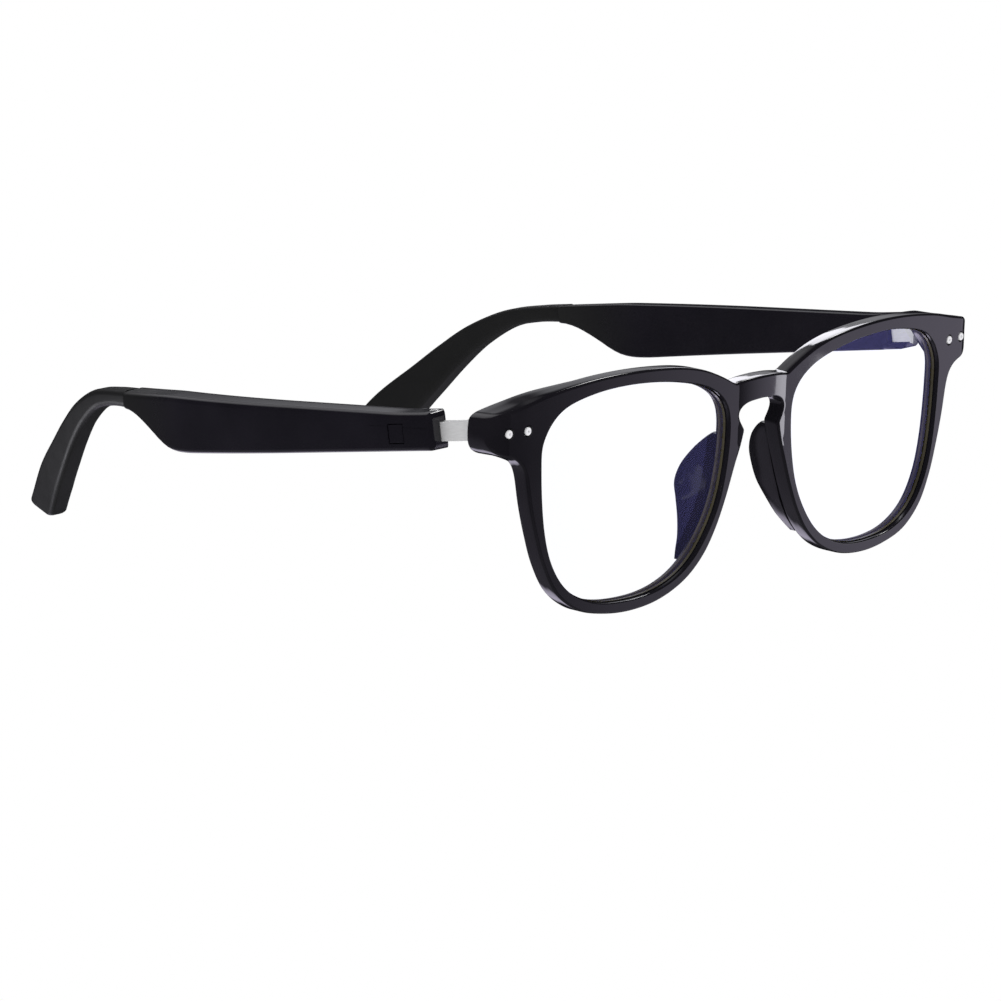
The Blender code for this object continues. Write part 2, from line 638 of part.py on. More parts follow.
def add_tip(prefix, side, hinge):
    """A rubber sleeve over a flat steel core; the core's channel opens at the front end."""
    frames = tip_frames()
    outer = [tip_ring(frame, side, frame[3], frame[4], TIP_CORNER,
                      skew=TIP_SKEW * ramp(frame[0], *TIP_SKEW_OVER)) for frame in frames]
    y, z, slope, height, thick = frames[-1]
    for reach, share in TIP_END:
        ahead = (y + reach * math.cos(slope), z + reach * math.sin(slope), slope, height, thick)
        outer.append(tip_ring(ahead, side, height * share, thick * share, TIP_CORNER * share,
                              skew=TIP_SKEW * ramp(ahead[0], *TIP_SKEW_OVER)))
    core_frames = [frame for frame in frames if frame[0] < 131.0]
    play = 2 * GAP
    channel = [tip_ring(frame, side, CORE_HEIGHT + play, CORE_THICK + play, 0.1, CORE_INWARD)
               for frame in core_frames]
    made = bmesh.new()
    outside = [[made.verts.new(point) for point in ring] for ring in outer]
    within = [[made.verts.new(point) for point in ring] for ring in channel]
    add_wall(made, outside)
    add_wall(made, within)
    add_wall(made, [outside[0], within[0]])
    made.faces.new(outside[-1])
    made.faces.new(within[-1])
    add_object(f"{prefix}_tip_sleeve", made, RUBBER, hinge, 50.0)

    rings = []
    for y in CORE_LEAD:
        frame = (y, CORE_Z, 0.0, 0.0, 0.0)
        rings.append(tip_ring(frame, side, CORE_HEIGHT, CORE_THICK, 0.1, CORE_INWARD))
    for frame in core_frames[:-1]:
        rings.append(tip_ring(frame, side, CORE_HEIGHT, CORE_THICK, 0.1, CORE_INWARD))
    add_object(f"{prefix}_tip_core", loft(rings), STEEL, hinge, 50.0)


def add_block(name, spec, side, finish, hinge, rounding=0.2):
    y, z, x = spec
    block = add_object(name, side_box(side, x[0], x[1], y, z), finish, hinge)
    if rounding:
        round_edges(block, rounding, 1)


def add_electronics(prefix, side, hinge):
    add_block(f"{prefix}_circuit_board", BOARD, side, GREEN, hinge, 0.0)
    add_block(f"{prefix}_key_switch", SWITCH, side, DARK, hinge, 0.15)
    add_block(f"{prefix}_microphone", MICROPHONE, side, STEEL, hinge, 0.1)
    add_block(f"{prefix}_battery", BATTERY, side, FOIL, hinge, 0.4)
    add_block(f"{prefix}_speaker", SPEAKER, side, DARK, hinge, 0.3)
    add_block(f"{prefix}_speaker_grille", GRILLE, side, STEEL, hinge, 0.0)


def add_key(prefix, side, hinge):
    """A flush square key with a retaining flange behind the housing's wall."""
    inner_wall = OUTER_X - WALL
    cap = add_object(f"{prefix}_touch_key",
                     side_box(side, OUTER_X - 0.05, inner_wall - 0.35, KEY_Y, KEY_Z), BLACK, hinge)
    flange = side_box(side, inner_wall - GAP, inner_wall - GAP - 0.4,
                      (KEY_Y[0] - KEY_FLANGE, KEY_Y[1] + KEY_FLANGE),
                      (KEY_Z[0] - 0.25, KEY_Z[1] + KEY_FLANGE))
    cut(cap, add_object(f"{prefix}_key_flange_tool", flange, None, hinge), "UNION")


def add_screw(prefix, side, hinge):
    steps = ((PIN_R, PIN_Z[0]), (PIN_R, PIN_HEAD_Z), (PIN_HEAD_R, PIN_HEAD_Z),
             (PIN_HEAD_R, PIN_Z[1] - 0.15), (PIN_HEAD_R - 0.2, PIN_Z[1]))
    screw = add_object(f"{prefix}_hinge_screw",
                       moved(rod(steps, 16), Matrix.Translation((side * PIN_X, PIN_Y, 0))),
                       STEEL, hinge, 40.0)
    slot = side_box(side, PIN_X + 2, PIN_X - 2, (PIN_Y - 0.15, PIN_Y + 0.15), (PIN_Z[1] - 0.3, 21.0))
    cut(screw, add_object(f"{prefix}_driver_slot_tool", slot, None, hinge))


def main():
    clear_scene()
    datum = add_empty("bridge_datum", BRIDGE_PLACE)
    tilt = add_empty("front_tilt", (0, 0, 0), datum)
    tilt.rotation_euler = (TILT, 0, 0)
    bpy.context.view_layer.update()
    add_front(tilt)
    counterbore_front(bpy.data.objects["front_frame"], tilt)
    for prefix, side in (("right", -1), ("left", 1)):
        add_lens(f"{prefix}_lens", side, tilt)
        add_nose_pad(f"{prefix}_nose_pad", side, tilt)
        add_hinge_front(prefix, side, tilt)
        hinge = add_empty(f"{prefix}_hinge_axis", (side * PIN_X, PIN_Y, 0), datum)
        add_shell(prefix, side, hinge)
        add_cover(prefix, side, hinge)
        add_tip(prefix, side, hinge)
        add_electronics(prefix, side, hinge)
        add_key(prefix, side, hinge)
        add_screw(prefix, side, hinge)


main()
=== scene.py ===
"""Looks of the smart glasses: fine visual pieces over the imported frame, materials, light, camera.

Frame: the origin is the middle of the footprint at the lowest point, +X the wearer's left, +Y
back along the open temples, +Z up. Dimensions are millimetres from the middle of the bridge on
the front face; place() carries each finished piece over to the frame and onto its body.
"""

import math

import bmesh
import bpy
from mathutils import Matrix, Vector
from mathutils.geometry import delaunay_2d_cdt


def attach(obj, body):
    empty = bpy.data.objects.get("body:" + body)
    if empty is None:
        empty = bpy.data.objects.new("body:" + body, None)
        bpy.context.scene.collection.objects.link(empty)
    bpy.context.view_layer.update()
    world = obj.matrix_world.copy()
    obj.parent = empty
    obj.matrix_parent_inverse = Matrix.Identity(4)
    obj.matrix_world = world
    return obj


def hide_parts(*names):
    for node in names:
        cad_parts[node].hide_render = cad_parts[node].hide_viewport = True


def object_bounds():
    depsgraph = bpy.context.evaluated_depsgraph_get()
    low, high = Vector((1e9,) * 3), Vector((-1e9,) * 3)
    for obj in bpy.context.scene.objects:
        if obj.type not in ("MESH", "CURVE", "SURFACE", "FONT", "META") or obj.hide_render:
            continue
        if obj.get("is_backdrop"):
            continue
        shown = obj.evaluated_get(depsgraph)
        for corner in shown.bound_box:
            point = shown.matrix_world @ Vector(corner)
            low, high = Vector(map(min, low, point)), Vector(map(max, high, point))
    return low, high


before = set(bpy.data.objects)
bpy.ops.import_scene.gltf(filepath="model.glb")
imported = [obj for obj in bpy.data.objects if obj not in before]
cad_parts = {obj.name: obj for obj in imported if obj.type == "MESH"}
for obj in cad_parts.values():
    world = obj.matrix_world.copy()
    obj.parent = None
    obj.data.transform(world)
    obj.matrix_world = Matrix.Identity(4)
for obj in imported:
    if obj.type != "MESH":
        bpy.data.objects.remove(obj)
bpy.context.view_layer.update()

MM = 0.001
GAP = 0.15
BRIDGE_PLACE = Vector((0.0, -71.538, 21.321))  # the bridge datum, seen from the origin

# Front
TILT = math.radians(10.4)
BASE_CURVE = 0.00099
WRAP_FROM, WRAP_TO, WRAP_BACK = 64.3, 68.1, 1.6
RIM_DEPTH = 3.5
END_DROP, END_BACK = 0.3, 11.0
END_RAMP, END_RAMP_UP = (45.0, 66.0), (8.5, 11.0)
END_RISE, END_RISE_FROM = 0.75, 62.0
BRIDGE_HALF, BRIDGE_BULGE = 6.7, 0.45
FACE_FILLETS, REAR_FILLETS = (0.65, 0.35), (0.45, 0.35)  # outer edge, lens openings
LIP_FRONT, LIP_BACK, GROOVE_DEEP = 1.35, 2.55, 0.85
LENS_FRONT, LENS_BACK, LENS_BEAD = 1.0, 2.8, 0.6
LENS_CLEAR = (0.995, 0.997, 1.0, 1.0)
LENS_TINT = (0.005, 0.006, 0.022), (0.042, 0.042, 0.095)  # reflection head on and at the edge

# Hinge
RIVETS = ((60.2, 14.6), (64.5, 14.6))
RIVET_HEAD, RIVET_SHANK, RIVET_PROUD, RIVET_PLAY = 0.75, 0.5, 0.12, 0.1
DIMPLE = ((0.42, -2.0), (0.34, -0.02), (0.16, 0.2), (0.16, 0.6))  # past the rivet, behind the face
PLATE_X, PLATE_Z, PLATE_THICK = (58.8, 66.9), (12.9, 16.3), 0.8
TONGUE_X, TONGUE_Z, TONGUE_FROM = (64.5, 66.9), (14.4, 17.8), 8.65
PIN_X, PIN_Y, PIN_R, PIN_PLAY = 65.7, 17.6, 0.5, 0.08
PIN_Z, PIN_HEAD_R, PIN_HEAD_Z = (13.5, 19.9), 0.9, 19.2
FORK_DEEP, THROUGH_Z = 19.1, (10.0, 26.0)
MITRE = ((65.4, 15.4), (63.8, 17.7))

# Temple housing
OUTER_X, INNER_X, SPLIT_X = 69.5, 63.9, 65.1
HOUSING_Y = (15.4, 98.0)
COVER_Y = 20.4
WALL, HOLLOW_Y = 1.2, (21.0, 82.0)
BEND_FROM, BEND_OVER, BEND_SLOPE = 52.3, 81.0, 0.434
UNDERSIDE = ((14.0, 13.0), (79.2, 12.9), (83.1, 13.2), (86.1, 14.2), (89.9, 17.0), (93.4, 19.25),
             (95.7, 20.4), (98.0, 20.95))
TOP_EDGE = ((14.0, 19.9), (24.0, 20.0), (53.0, 21.85), (84.0, 23.85), (98.0, 24.25))
TOP_DROP = 0.2

# Ear tip
TIP_PATH = ((98.05, 22.6), (103.7, 22.8), (110.4, 22.2), (117.4, 19.4), (123.3, 15.5),
            (128.9, 11.1), (135.2, 6.1), (140.2, 1.3))
TIP_HEIGHT = (3.3, 3.2, 3.7, 4.8, 5.8, 7.0, 8.5, 9.0)
TIP_THICK = (5.0, 4.8, 4.5, 4.6, 4.9, 5.0, 5.1, 4.8)
TIP_CORNER, TIP_END_ROUND = 1.15, 2.0
TIP_REACH, TIP_SKEW, TIP_SKEW_OVER = 3.1, -0.62, (130.0, 142.0)
CORE_Z, CORE_THICK, CORE_HEIGHT, CORE_INWARD, CORE_END = 22.6, 1.2, 1.7, 0.7, 131.0
NECK_SLOT_X, NECK_SLOT_HALF, NECK_SLOT_Y = 66.85, 1.1, (88.5, 91.0, 94.0, 97.0, 99.0)
FADE_Y, TIP_BLACK, TIP_ROUGH, TIP_SPECULAR = (80.0, 98.0), (0.0105, 0.0105, 0.011), 0.46, 0.25

# Small openings and the parts in them
KEY_Y, KEY_Z, KEY_PLAY, KEY_RECESS = (22.3, 25.7), (14.55, 17.85), 0.15, 0.05
GRILLE = ((67.5, 76.5), (12.95, 14.0), (68.0, 66.0))  # y, z and x
SOUND_HOLES, SOUND_HOLE_R, SOUND_ROWS = 8, 0.27, (-0.45, 0.45)
CONTACT_X, CONTACT_Y, CONTACT_Z, CONTACT_R = (60.0, 68.0), (28.0, 32.0), 16.4, 0.9
PORT_X, PORT_Y, PORT_R = 66.8, 35.0, 0.45
SEAM = ((16.4, 17.0), (22.0, 17.3), (26.0, 17.6), (30.2, 17.75))

# Housing corner radii: outer lower, outer upper, inner upper, inner lower
SHELL_CORNERS, SHELL_NOSE = (0.8, 1.1, 0.6, 0.8), 1.0
COVER_CORNERS = (0.12, 0.12, 0.45, 0.45)

# Nose pad stations: height, nasal edge, lens-side edge and the rearmost point's x and y
PAD_STATIONS = ((6.4, 5.6, 8.3, 7.0, 5.4), (5.2, 5.7, 8.6, 7.4, 7.0), (3.0, 6.5, 8.9, 8.4, 9.0),
                (0.0, 7.5, 9.3, 9.9, 10.6), (-3.0, 8.5, 10.0, 11.1, 10.9),
                (-6.0, 9.7, 11.2, 11.6, 10.0), (-9.0, 10.9, 12.9, 12.6, 8.6),
                (-12.0, 12.8, 14.9, 14.0, 7.2), (-14.2, 14.6, 16.6, 15.6, 6.1),
                (-15.6, 16.0, 17.6, 16.7, 5.2))
PAD_HALF = 0.75  # half a pad's thickness near its rear edge

# Camera, as a distance and three turns about a target in the leaning front's frame
CAMERA_TURN, CAMERA_PITCH, CAMERA_ROLL = 0.846485, 0.232699, 0.029575
CAMERA_TARGET, CAMERA_AWAY = (-71.08, 0.0, 4.57), 992.21
CAMERA_LENS, SENSOR, CLIP_START = 206.1, 36.0, 0.01

# Floor: half its width, and its gap under the lowest point, in metres
FLOOR_HALF, FLOOR_GAP = 4.0, 0.0005

# Surroundings that reflections see: (right, ahead, up) direction as the camera looks, inner and
# outer angle of the soft edge in degrees, colour and strength
LAVENDER, COOL, PALE, WHITE = (0.86, 0.8, 1.0), (0.97, 0.96, 1.0), (0.95, 0.95, 1.0), (1.0, 1.0, 1.0)
STUDIO_DARK = (0.012, 0.012, 0.015)
STUDIO_GLOWS = (
    ((0.8, 0.38, -0.44), 8, 32, LAVENDER, 0.95),
    ((-0.35, 0.6, 0.72), 10, 25, COOL, 0.8),
    ((0.3, 0.62, 0.72), 2, 6, WHITE, 14.0),
    ((-0.37, 0.7, -0.6), 3, 16, LAVENDER, 1.9),
    ((-0.8, 0.2, -0.55), 6, 34, LAVENDER, 0.2),
    ((0.1, 1.0, 0.42), 3, 15, PALE, 0.55),
    ((0.0, 0.0, -1.0), 30, 62, PALE, 0.1),
)

# Soft boxes: place, aim, size, spread in degrees, power and the pieces each one lights
SOFT_BOX_TINT = (0.95, 0.94, 1.0)
SOFT_BOXES = (
    ("rim_box", (60.0, 32.0, 56.0), (28.0, -1.0, 18.0), (22.0, 39.0), 60, 0.0017,
     ("front_molding",)),
    ("bridge_box", (86.0, -34.0, -19.0), (6.0, -0.5, 8.0), (24.0, 24.0), 60, 0.0006,
     ("front_molding",)),
    ("tip_box", (-84.0, 156.0, -7.0), (-48.0, 138.0, 2.0), (30.0, 30.0), 180, 0.022,
     ("right_tip_cover",)),
)


# ---------- shape helpers ----------

def ramp(value, start, end):
    """A smooth step from 0 at start to 1 at end."""
    share = min(max((value - start) / (end - start), 0.0), 1.0)
    return share * share * (3 - 2 * share)


def between(y, table):
    """Value at y on straight runs through a table of (y, value)."""
    for (y0, v0), (y1, v1) in zip(table, table[1:]):
        if y <= y1:
            return v0 + (v1 - v0) * (y - y0) / (y1 - y0)
    return table[-1][1]


def curve_at(a, b, c, d, t):
    """The Catmull-Rom curve from b to c at t, with a and d as its neighbours."""
    return 0.5 * (2 * b + (c - a) * t + (2 * a - 5 * b + 4 * c - d) * t * t
                  + (3 * b - a - 3 * c + d) * t ** 3)


def flow(points, step, closed=False):
    """A Catmull-Rom curve through points, with a point about every step."""
    points = [Vector(point) for point in points]
    count = len(points)
    run = []
    for i in range(count if closed else count - 1):
        if closed:
            p = [points[(i + k) % count] for k in (-1, 0, 1, 2)]
        else:
            p = [points[min(max(i + k, 0), count - 1)] for k in (-1, 0, 1, 2)]
        pieces = max(2, math.ceil((p[2] - p[1]).length / step))
        for k in range(pieces):
            run.append(curve_at(*p, k / pieces))
    if not closed:
        run.append(points[-1])
    return run


def soften(loop, times):
    """Eases the corners of a closed loop."""
    for _ in range(times):
        loop = [loop[i - 1] * 0.25 + point * 0.5 + loop[(i + 1) % len(loop)] * 0.25
                for i, point in enumerate(loop)]
    return loop


def offset(loop, distance):
    """A closed loop moved outwards by distance."""
    count = len(loop)
    area = sum(loop[i].x * loop[(i + 1) % count].y - loop[(i + 1) % count].x * loop[i].y
               for i in range(count))
    turn = 1 if area > 0 else -1
    grown = []
    for i, point in enumerate(loop):
        along = (loop[(i + 1) % count] - loop[i - 1]).normalized()
        grown.append(point + turn * distance * Vector((along.y, -along.x)))
    return grown


def inside(point, loop):
    """True where a point lies within a closed loop, by counting crossings."""
    crossings = 0
    for a, b in zip(loop, loop[1:] + loop[:1]):
        if (a.y > point.y) != (b.y > point.y):
            crossings += point.x < a.x + (b.x - a.x) * (point.y - a.y) / (b.y - a.y)
    return crossings % 2 == 1


def new_object(name, made, finishes, smooth=35.0):
    """A mesh object from a bmesh in millimetres, with smooth shading between soft faces."""
    mesh = bpy.data.meshes.new(name)
    bmesh.ops.recalc_face_normals(made, faces=made.faces)
    bmesh.ops.scale(made, vec=(MM, MM, MM), verts=made.verts)
    made.to_mesh(mesh)
    made.free()
    obj = bpy.data.objects.new(name, mesh)
    bpy.context.scene.collection.objects.link(obj)
    for finish in finishes:
        mesh.materials.append(finish)
    if smooth:
        mesh.shade_smooth()
        mesh.set_sharp_from_angle(angle=math.radians(smooth))
    return obj


def loft(rings):
    """Skins rings of equal length, with flat ends."""
    made = bmesh.new()
    rows = [[made.verts.new(point) for point in ring] for ring in rings]
    for row, after in zip(rows, rows[1:]):
        for i in range(len(row)):
            j = (i + 1) % len(row)
            made.faces.new((row[i], row[j], after[j], after[i]))
    made.faces.new(rows[0])
    made.faces.new(rows[-1])
    return made


def box(x, y, z):
    """A box between the low and high x, y and z."""
    made = bmesh.new()
    bmesh.ops.create_cube(made, size=1.0)
    for vertex in made.verts:
        vertex.co = Vector((x[0] if vertex.co.x < 0 else x[1], y[0] if vertex.co.y < 0 else y[1],
                            z[0] if vertex.co.z < 0 else z[1]))
    return made


def rod(steps, count):
    """A turned solid about Z from (radius, height) steps."""
    rings = []
    for radius, height in steps:
        rings.append([(radius * math.cos(2 * math.pi * i / count),
                       radius * math.sin(2 * math.pi * i / count), height) for i in range(count)])
    return loft(rings)


def moved(made, matrix):
    """The same bmesh after a transform."""
    bmesh.ops.transform(made, matrix=matrix, verts=made.verts)
    return made


def bake(obj):
    """Turns an object's modifiers into its mesh."""
    graph = bpy.context.evaluated_depsgraph_get()
    mesh = bpy.data.meshes.new_from_object(obj.evaluated_get(graph))
    obj.modifiers.clear()
    obj.data = mesh


def carve(obj, builders, operation="DIFFERENCE"):
    """Cuts tools out of an object one after another, or joins them to it."""
    tools = []
    for builder in builders:
        tool = new_object("tool", builder, (), 0)
        modifier = obj.modifiers.new("cut", "BOOLEAN")
        modifier.object = tool
        modifier.operation = operation
        modifier.solver = "EXACT"
        tools.append(tool)
    bpy.context.view_layer.update()
    bake(obj)
    for tool in tools:
        bpy.data.objects.remove(tool, do_unlink=True)


def finish_edges(obj, width, segments=2, limit=40.0, smooth=35.0):
    """Rounds an object's sharp edges and evens out its shading. Width 0 leaves the edges."""
    if width:
        modifier = obj.modifiers.new("edges", "BEVEL")
        modifier.width = width * MM
        modifier.segments = segments
        modifier.limit_method = "ANGLE"
        modifier.angle_limit = math.radians(limit)
        bpy.context.view_layer.update()
        bake(obj)
    obj.data.shade_smooth()
    obj.data.set_sharp_from_angle(angle=math.radians(smooth))
    weighted = obj.modifiers.new("normals", "WEIGHTED_NORMAL")
    weighted.keep_sharp = True
    weighted.weight = 80


def place(obj, body, slot, *nodes):
    """Carries a finished piece to the frame and hands it to its body in place of CAD nodes."""
    obj.data.transform(Matrix.Translation(BRIDGE_PLACE * MM))
    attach(obj, body)
    if nodes:
        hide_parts(*nodes)


# ---------- materials ----------

def node(tree, kind):
    """A new shader node of a kind."""
    return tree.nodes.new(f"ShaderNode{kind}")


def node_material(name):
    """A new material, its node tree and its shader."""
    made = bpy.data.materials.new(name)
    made.use_nodes = True
    return made, made.node_tree, made.node_tree.nodes["Principled BSDF"]


def noise(tree, scale, detail, rough=0.5, stretch=None):
    """A noise texture in the object's own space, with its scale per millimetre."""
    coords = node(tree, "TexCoord")
    made = node(tree, "TexNoise")
    made.inputs["Scale"].default_value = scale / MM
    made.inputs["Detail"].default_value = detail
    made.inputs["Roughness"].default_value = rough
    source = coords.outputs["Object"]
    if stretch:
        mapping = node(tree, "Mapping")
        mapping.inputs["Scale"].default_value = stretch
        tree.links.new(source, mapping.inputs["Vector"])
        source = mapping.outputs["Vector"]
    tree.links.new(source, made.inputs["Vector"])
    return made.outputs["Fac"]


def spread(tree, source, low, high, from_low=0.3, from_high=0.7):
    """Maps part of a source's range onto a range of values."""
    made = node(tree, "MapRange")
    made.inputs["From Min"].default_value = from_low
    made.inputs["From Max"].default_value = from_high
    made.inputs["To Min"].default_value = low
    made.inputs["To Max"].default_value = high
    tree.links.new(source, made.inputs["Value"])
    return made.outputs["Result"]


def two_tone(tree, source, first, second):
    """A colour that runs from first to second as the source goes from 0 to 1."""
    made = node(tree, "Mix")
    made.data_type = "RGBA"
    made.inputs["A"].default_value = (*first, 1.0)
    made.inputs["B"].default_value = (*second, 1.0)
    tree.links.new(source, made.inputs["Factor"])
    return made.outputs["Result"]


def bump(tree, shader, source, height):
    """Adds a bump of a height in millimetres, on top of any bump already there."""
    made = node(tree, "Bump")
    made.inputs["Distance"].default_value = height * MM
    made.inputs["Strength"].default_value = 1.0
    tree.links.new(source, made.inputs["Height"])
    if shader.inputs["Normal"].is_linked:
        tree.links.new(shader.inputs["Normal"].links[0].from_socket, made.inputs["Normal"])
    tree.links.new(made.outputs["Normal"], shader.inputs["Normal"])


def plastic(name, dark, light, rough, grain, waviness, coat=0.0):
    """Polished or satin moulded plastic: faint tone drift, uneven gloss, slight waviness."""
    made, tree, shader = node_material(name)
    tone = spread(tree, noise(tree, 0.06, 4.0), 0.0, 1.0)
    tree.links.new(two_tone(tree, tone, dark, light), shader.inputs["Base Color"])
    tree.links.new(spread(tree, noise(tree, 0.35, 5.0, 0.6), *rough), shader.inputs["Roughness"])
    shader.inputs["IOR"].default_value = 1.5
    shader.inputs["Coat Weight"].default_value = coat
    shader.inputs["Coat Roughness"].default_value = 0.03
    if waviness:
        bump(tree, shader, noise(tree, 0.05, 1.0), waviness)
    if grain:
        bump(tree, shader, noise(tree, 5.0, 2.0), grain)
    return made


def matte_towards_tip(made):
    """Lets a temple's gloss fade into the ear tip's satin over the housing's last stretch."""
    tree = made.node_tree
    shader = tree.nodes["Principled BSDF"]
    coords = node(tree, "TexCoord")
    parts = node(tree, "SeparateXYZ")
    tree.links.new(coords.outputs["Object"], parts.inputs["Vector"])
    start, end = ((y + BRIDGE_PLACE.y) * MM for y in FADE_Y)
    share = spread(tree, parts.outputs["Y"], 0.0, 1.0, start, end)
    for socket, target in (("Base Color", TIP_BLACK), ("Roughness", (TIP_ROUGH,) * 3)):
        before = shader.inputs[socket].links[0].from_socket
        blend = node(tree, "Mix")
        blend.data_type = "RGBA"
        blend.inputs["B"].default_value = (*target, 1.0)
        tree.links.new(share, blend.inputs["Factor"])
        tree.links.new(before, blend.inputs["A"])
        tree.links.new(blend.outputs["Result"], shader.inputs[socket])


def metal(name, dark, light, metallic, rough, stretch, grain):
    """Brushed or plated metal, with its grain along one direction."""
    made, tree, shader = node_material(name)
    lines = noise(tree, 4.0, 4.0, 0.6, stretch)
    tree.links.new(two_tone(tree, spread(tree, lines, 0.0, 1.0), dark, light),
                   shader.inputs["Base Color"])
    tree.links.new(spread(tree, noise(tree, 1.2, 4.0), *rough), shader.inputs["Roughness"])
    shader.inputs["Metallic"].default_value = metallic
    bump(tree, shader, lines, grain)
    return made


def lens_material(name):
    """Clear plastic that lets the view through and adds a blue-violet coating's reflection."""
    made, tree, shader = node_material(name)
    tree.nodes.remove(shader)
    output = tree.nodes["Material Output"]
    through = node(tree, "BsdfTransparent")
    through.inputs["Color"].default_value = LENS_CLEAR
    shine = node(tree, "BsdfGlossy")
    weight = node(tree, "LayerWeight")
    weight.inputs["Blend"].default_value = 0.35
    tone = two_tone(tree, weight.outputs["Facing"], *LENS_TINT)
    drift = spread(tree, noise(tree, 0.02, 2.0), 0.8, 1.2)
    scaled = node(tree, "VectorMath")
    scaled.operation = "SCALE"
    tree.links.new(tone, scaled.inputs[0])
    tree.links.new(drift, scaled.inputs["Scale"])
    tree.links.new(scaled.outputs["Vector"], shine.inputs["Color"])
    tree.links.new(spread(tree, noise(tree, 0.5, 3.0), 0.01, 0.04), shine.inputs["Roughness"])
    both = node(tree, "AddShader")
    tree.links.new(through.outputs["BSDF"], both.inputs[0])
    tree.links.new(shine.outputs["BSDF"], both.inputs[1])
    tree.links.new(both.outputs["Shader"], output.inputs["Surface"])
    return made


GLOSS = plastic("gloss_black", (0.006, 0.0055, 0.0075), (0.010, 0.009, 0.012), (0.05, 0.12),
                0.0004, 0.02)
TEMPLE = plastic("temple_gloss", (0.006, 0.0055, 0.008), (0.010, 0.009, 0.013), (0.09, 0.17),
                 0.0006, 0.015)
RUBBER = plastic("tip_rubber", (0.0085, 0.0085, 0.009), (0.0125, 0.0125, 0.013), (0.42, 0.54),
                 0.004, 0.0)
RUBBER.node_tree.nodes["Principled BSDF"].inputs["Specular IOR Level"].default_value = TIP_SPECULAR
matte_towards_tip(TEMPLE)
DARK = plastic("dark_plastic", (0.02, 0.02, 0.022), (0.035, 0.035, 0.038), (0.4, 0.6), 0.004, 0.0)
BOARD_GREEN = plastic("board_green", (0.012, 0.07, 0.03), (0.02, 0.12, 0.05), (0.3, 0.5),
                      0.004, 0.0)
LENS_EDGE = plastic("lens_edge", (0.035, 0.03, 0.018), (0.07, 0.06, 0.035), (0.2, 0.35), 0.001, 0.0)
STEEL = metal("satin_steel", (0.74, 0.74, 0.75), (0.84, 0.84, 0.85), 0.3, (0.32, 0.48),
              (0.15, 0.15, 1.0), 0.002)
RIVET_STEEL = metal("rivet_steel", (0.9, 0.9, 0.92), (0.97, 0.97, 0.98), 0.15, (0.25, 0.4),
                    (1.0, 1.0, 1.0), 0.002)
GOLD = metal("gold_plate", (0.72, 0.5, 0.2), (0.86, 0.64, 0.3), 0.9, (0.18, 0.3), (1.0, 1.0, 1.0),
             0.001)
FOIL = metal("cell_foil", (0.45, 0.46, 0.48), (0.6, 0.61, 0.63), 0.7, (0.3, 0.5),
             (1.0, 0.2, 1.0), 0.006)
LENS = lens_material("clear_lens")


# ---------- front ----------

def face_y(x):
    """How far back the front face lies at x."""
    side = abs(x)
    back = BASE_CURVE * side * side
    if side > WRAP_FROM:
        back += WRAP_BACK * ((side - WRAP_FROM) / (WRAP_TO - WRAP_FROM)) ** 2
    if side < BRIDGE_HALF:
        back -= BRIDGE_BULGE * (1 - (side / BRIDGE_HALF) ** 2)
    return back


def end_share(x, z):
    """How much of the end piece there is: 0 on the rims, 1 at the hinge seat."""
    rise = END_RISE * max(END_RISE_FROM - abs(x), 0.0)
    return ramp(abs(x), *END_RAMP) * ramp(z - rise, *END_RAMP_UP)


def back_y(x, z):
    """How far back the rear of the front lies at (x, z)."""
    rim = BASE_CURVE * x * x + RIM_DEPTH
    return rim + (END_BACK - rim) * end_share(x, z)


def lens_outline(step=0.45):
    """The edge of the left lens opening."""
    return flow([(56.6, 6.5), (56.1, 12.4), (52.0, 17.1), (44.0, 19.25), (34.0, 19.7),
                 (23.5, 18.75), (14.6, 16.4), (9.7, 12.2), (8.95, 5.5), (10.7, -4.0),
                 (14.45, -11.1), (19.5, -16.1), (26.0, -18.9), (34.0, -19.8), (42.5, -19.0),
                 (49.1, -16.0), (53.35, -10.7), (55.6, -3.5)], step, closed=True)


def front_outline(step=0.42):
    """The whole outer edge, from the middle of the bridge over the top and back under."""
    stretches = (
        ((0.0, 16.8), (4.0, 16.65), (7.4, 16.2)),
        ((7.4, 16.2), (11.5, 18.2), (17.0, 20.15), (24.0, 21.4), (34.0, 22.0), (44.0, 21.75),
         (54.0, 20.6), (61.0, 19.1), (66.3, 18.1)),
        ((66.3, 18.1), (67.6, 17.5), (68.1, 16.3), (68.1, 13.3), (67.3, 11.6), (65.6, 10.6)),
        ((65.6, 10.6), (63.2, 9.95), (61.3, 8.6), (60.1, 6.2), (58.95, 0.6), (57.4, -5.0),
         (55.35, -10.7), (52.1, -16.0), (46.8, -19.8), (40.0, -21.5), (33.0, -21.9),
         (26.0, -21.0), (19.6, -18.5), (14.9, -14.8), (11.6, -10.2), (9.1, -5.0), (7.1, 0.2),
         (5.6, 4.2), (4.7, 7.4)),
        ((4.7, 7.4), (5.9, 9.2), (6.2, 10.5), (5.5, 11.5), (3.6, 12.3), (0.0, 12.6)))
    half = []
    for stretch in stretches:
        half += flow(stretch, step)[1 if half else 0:]
    return soften(half + [Vector((-point.x, point.y)) for point in half[-2:0:-1]], 3)


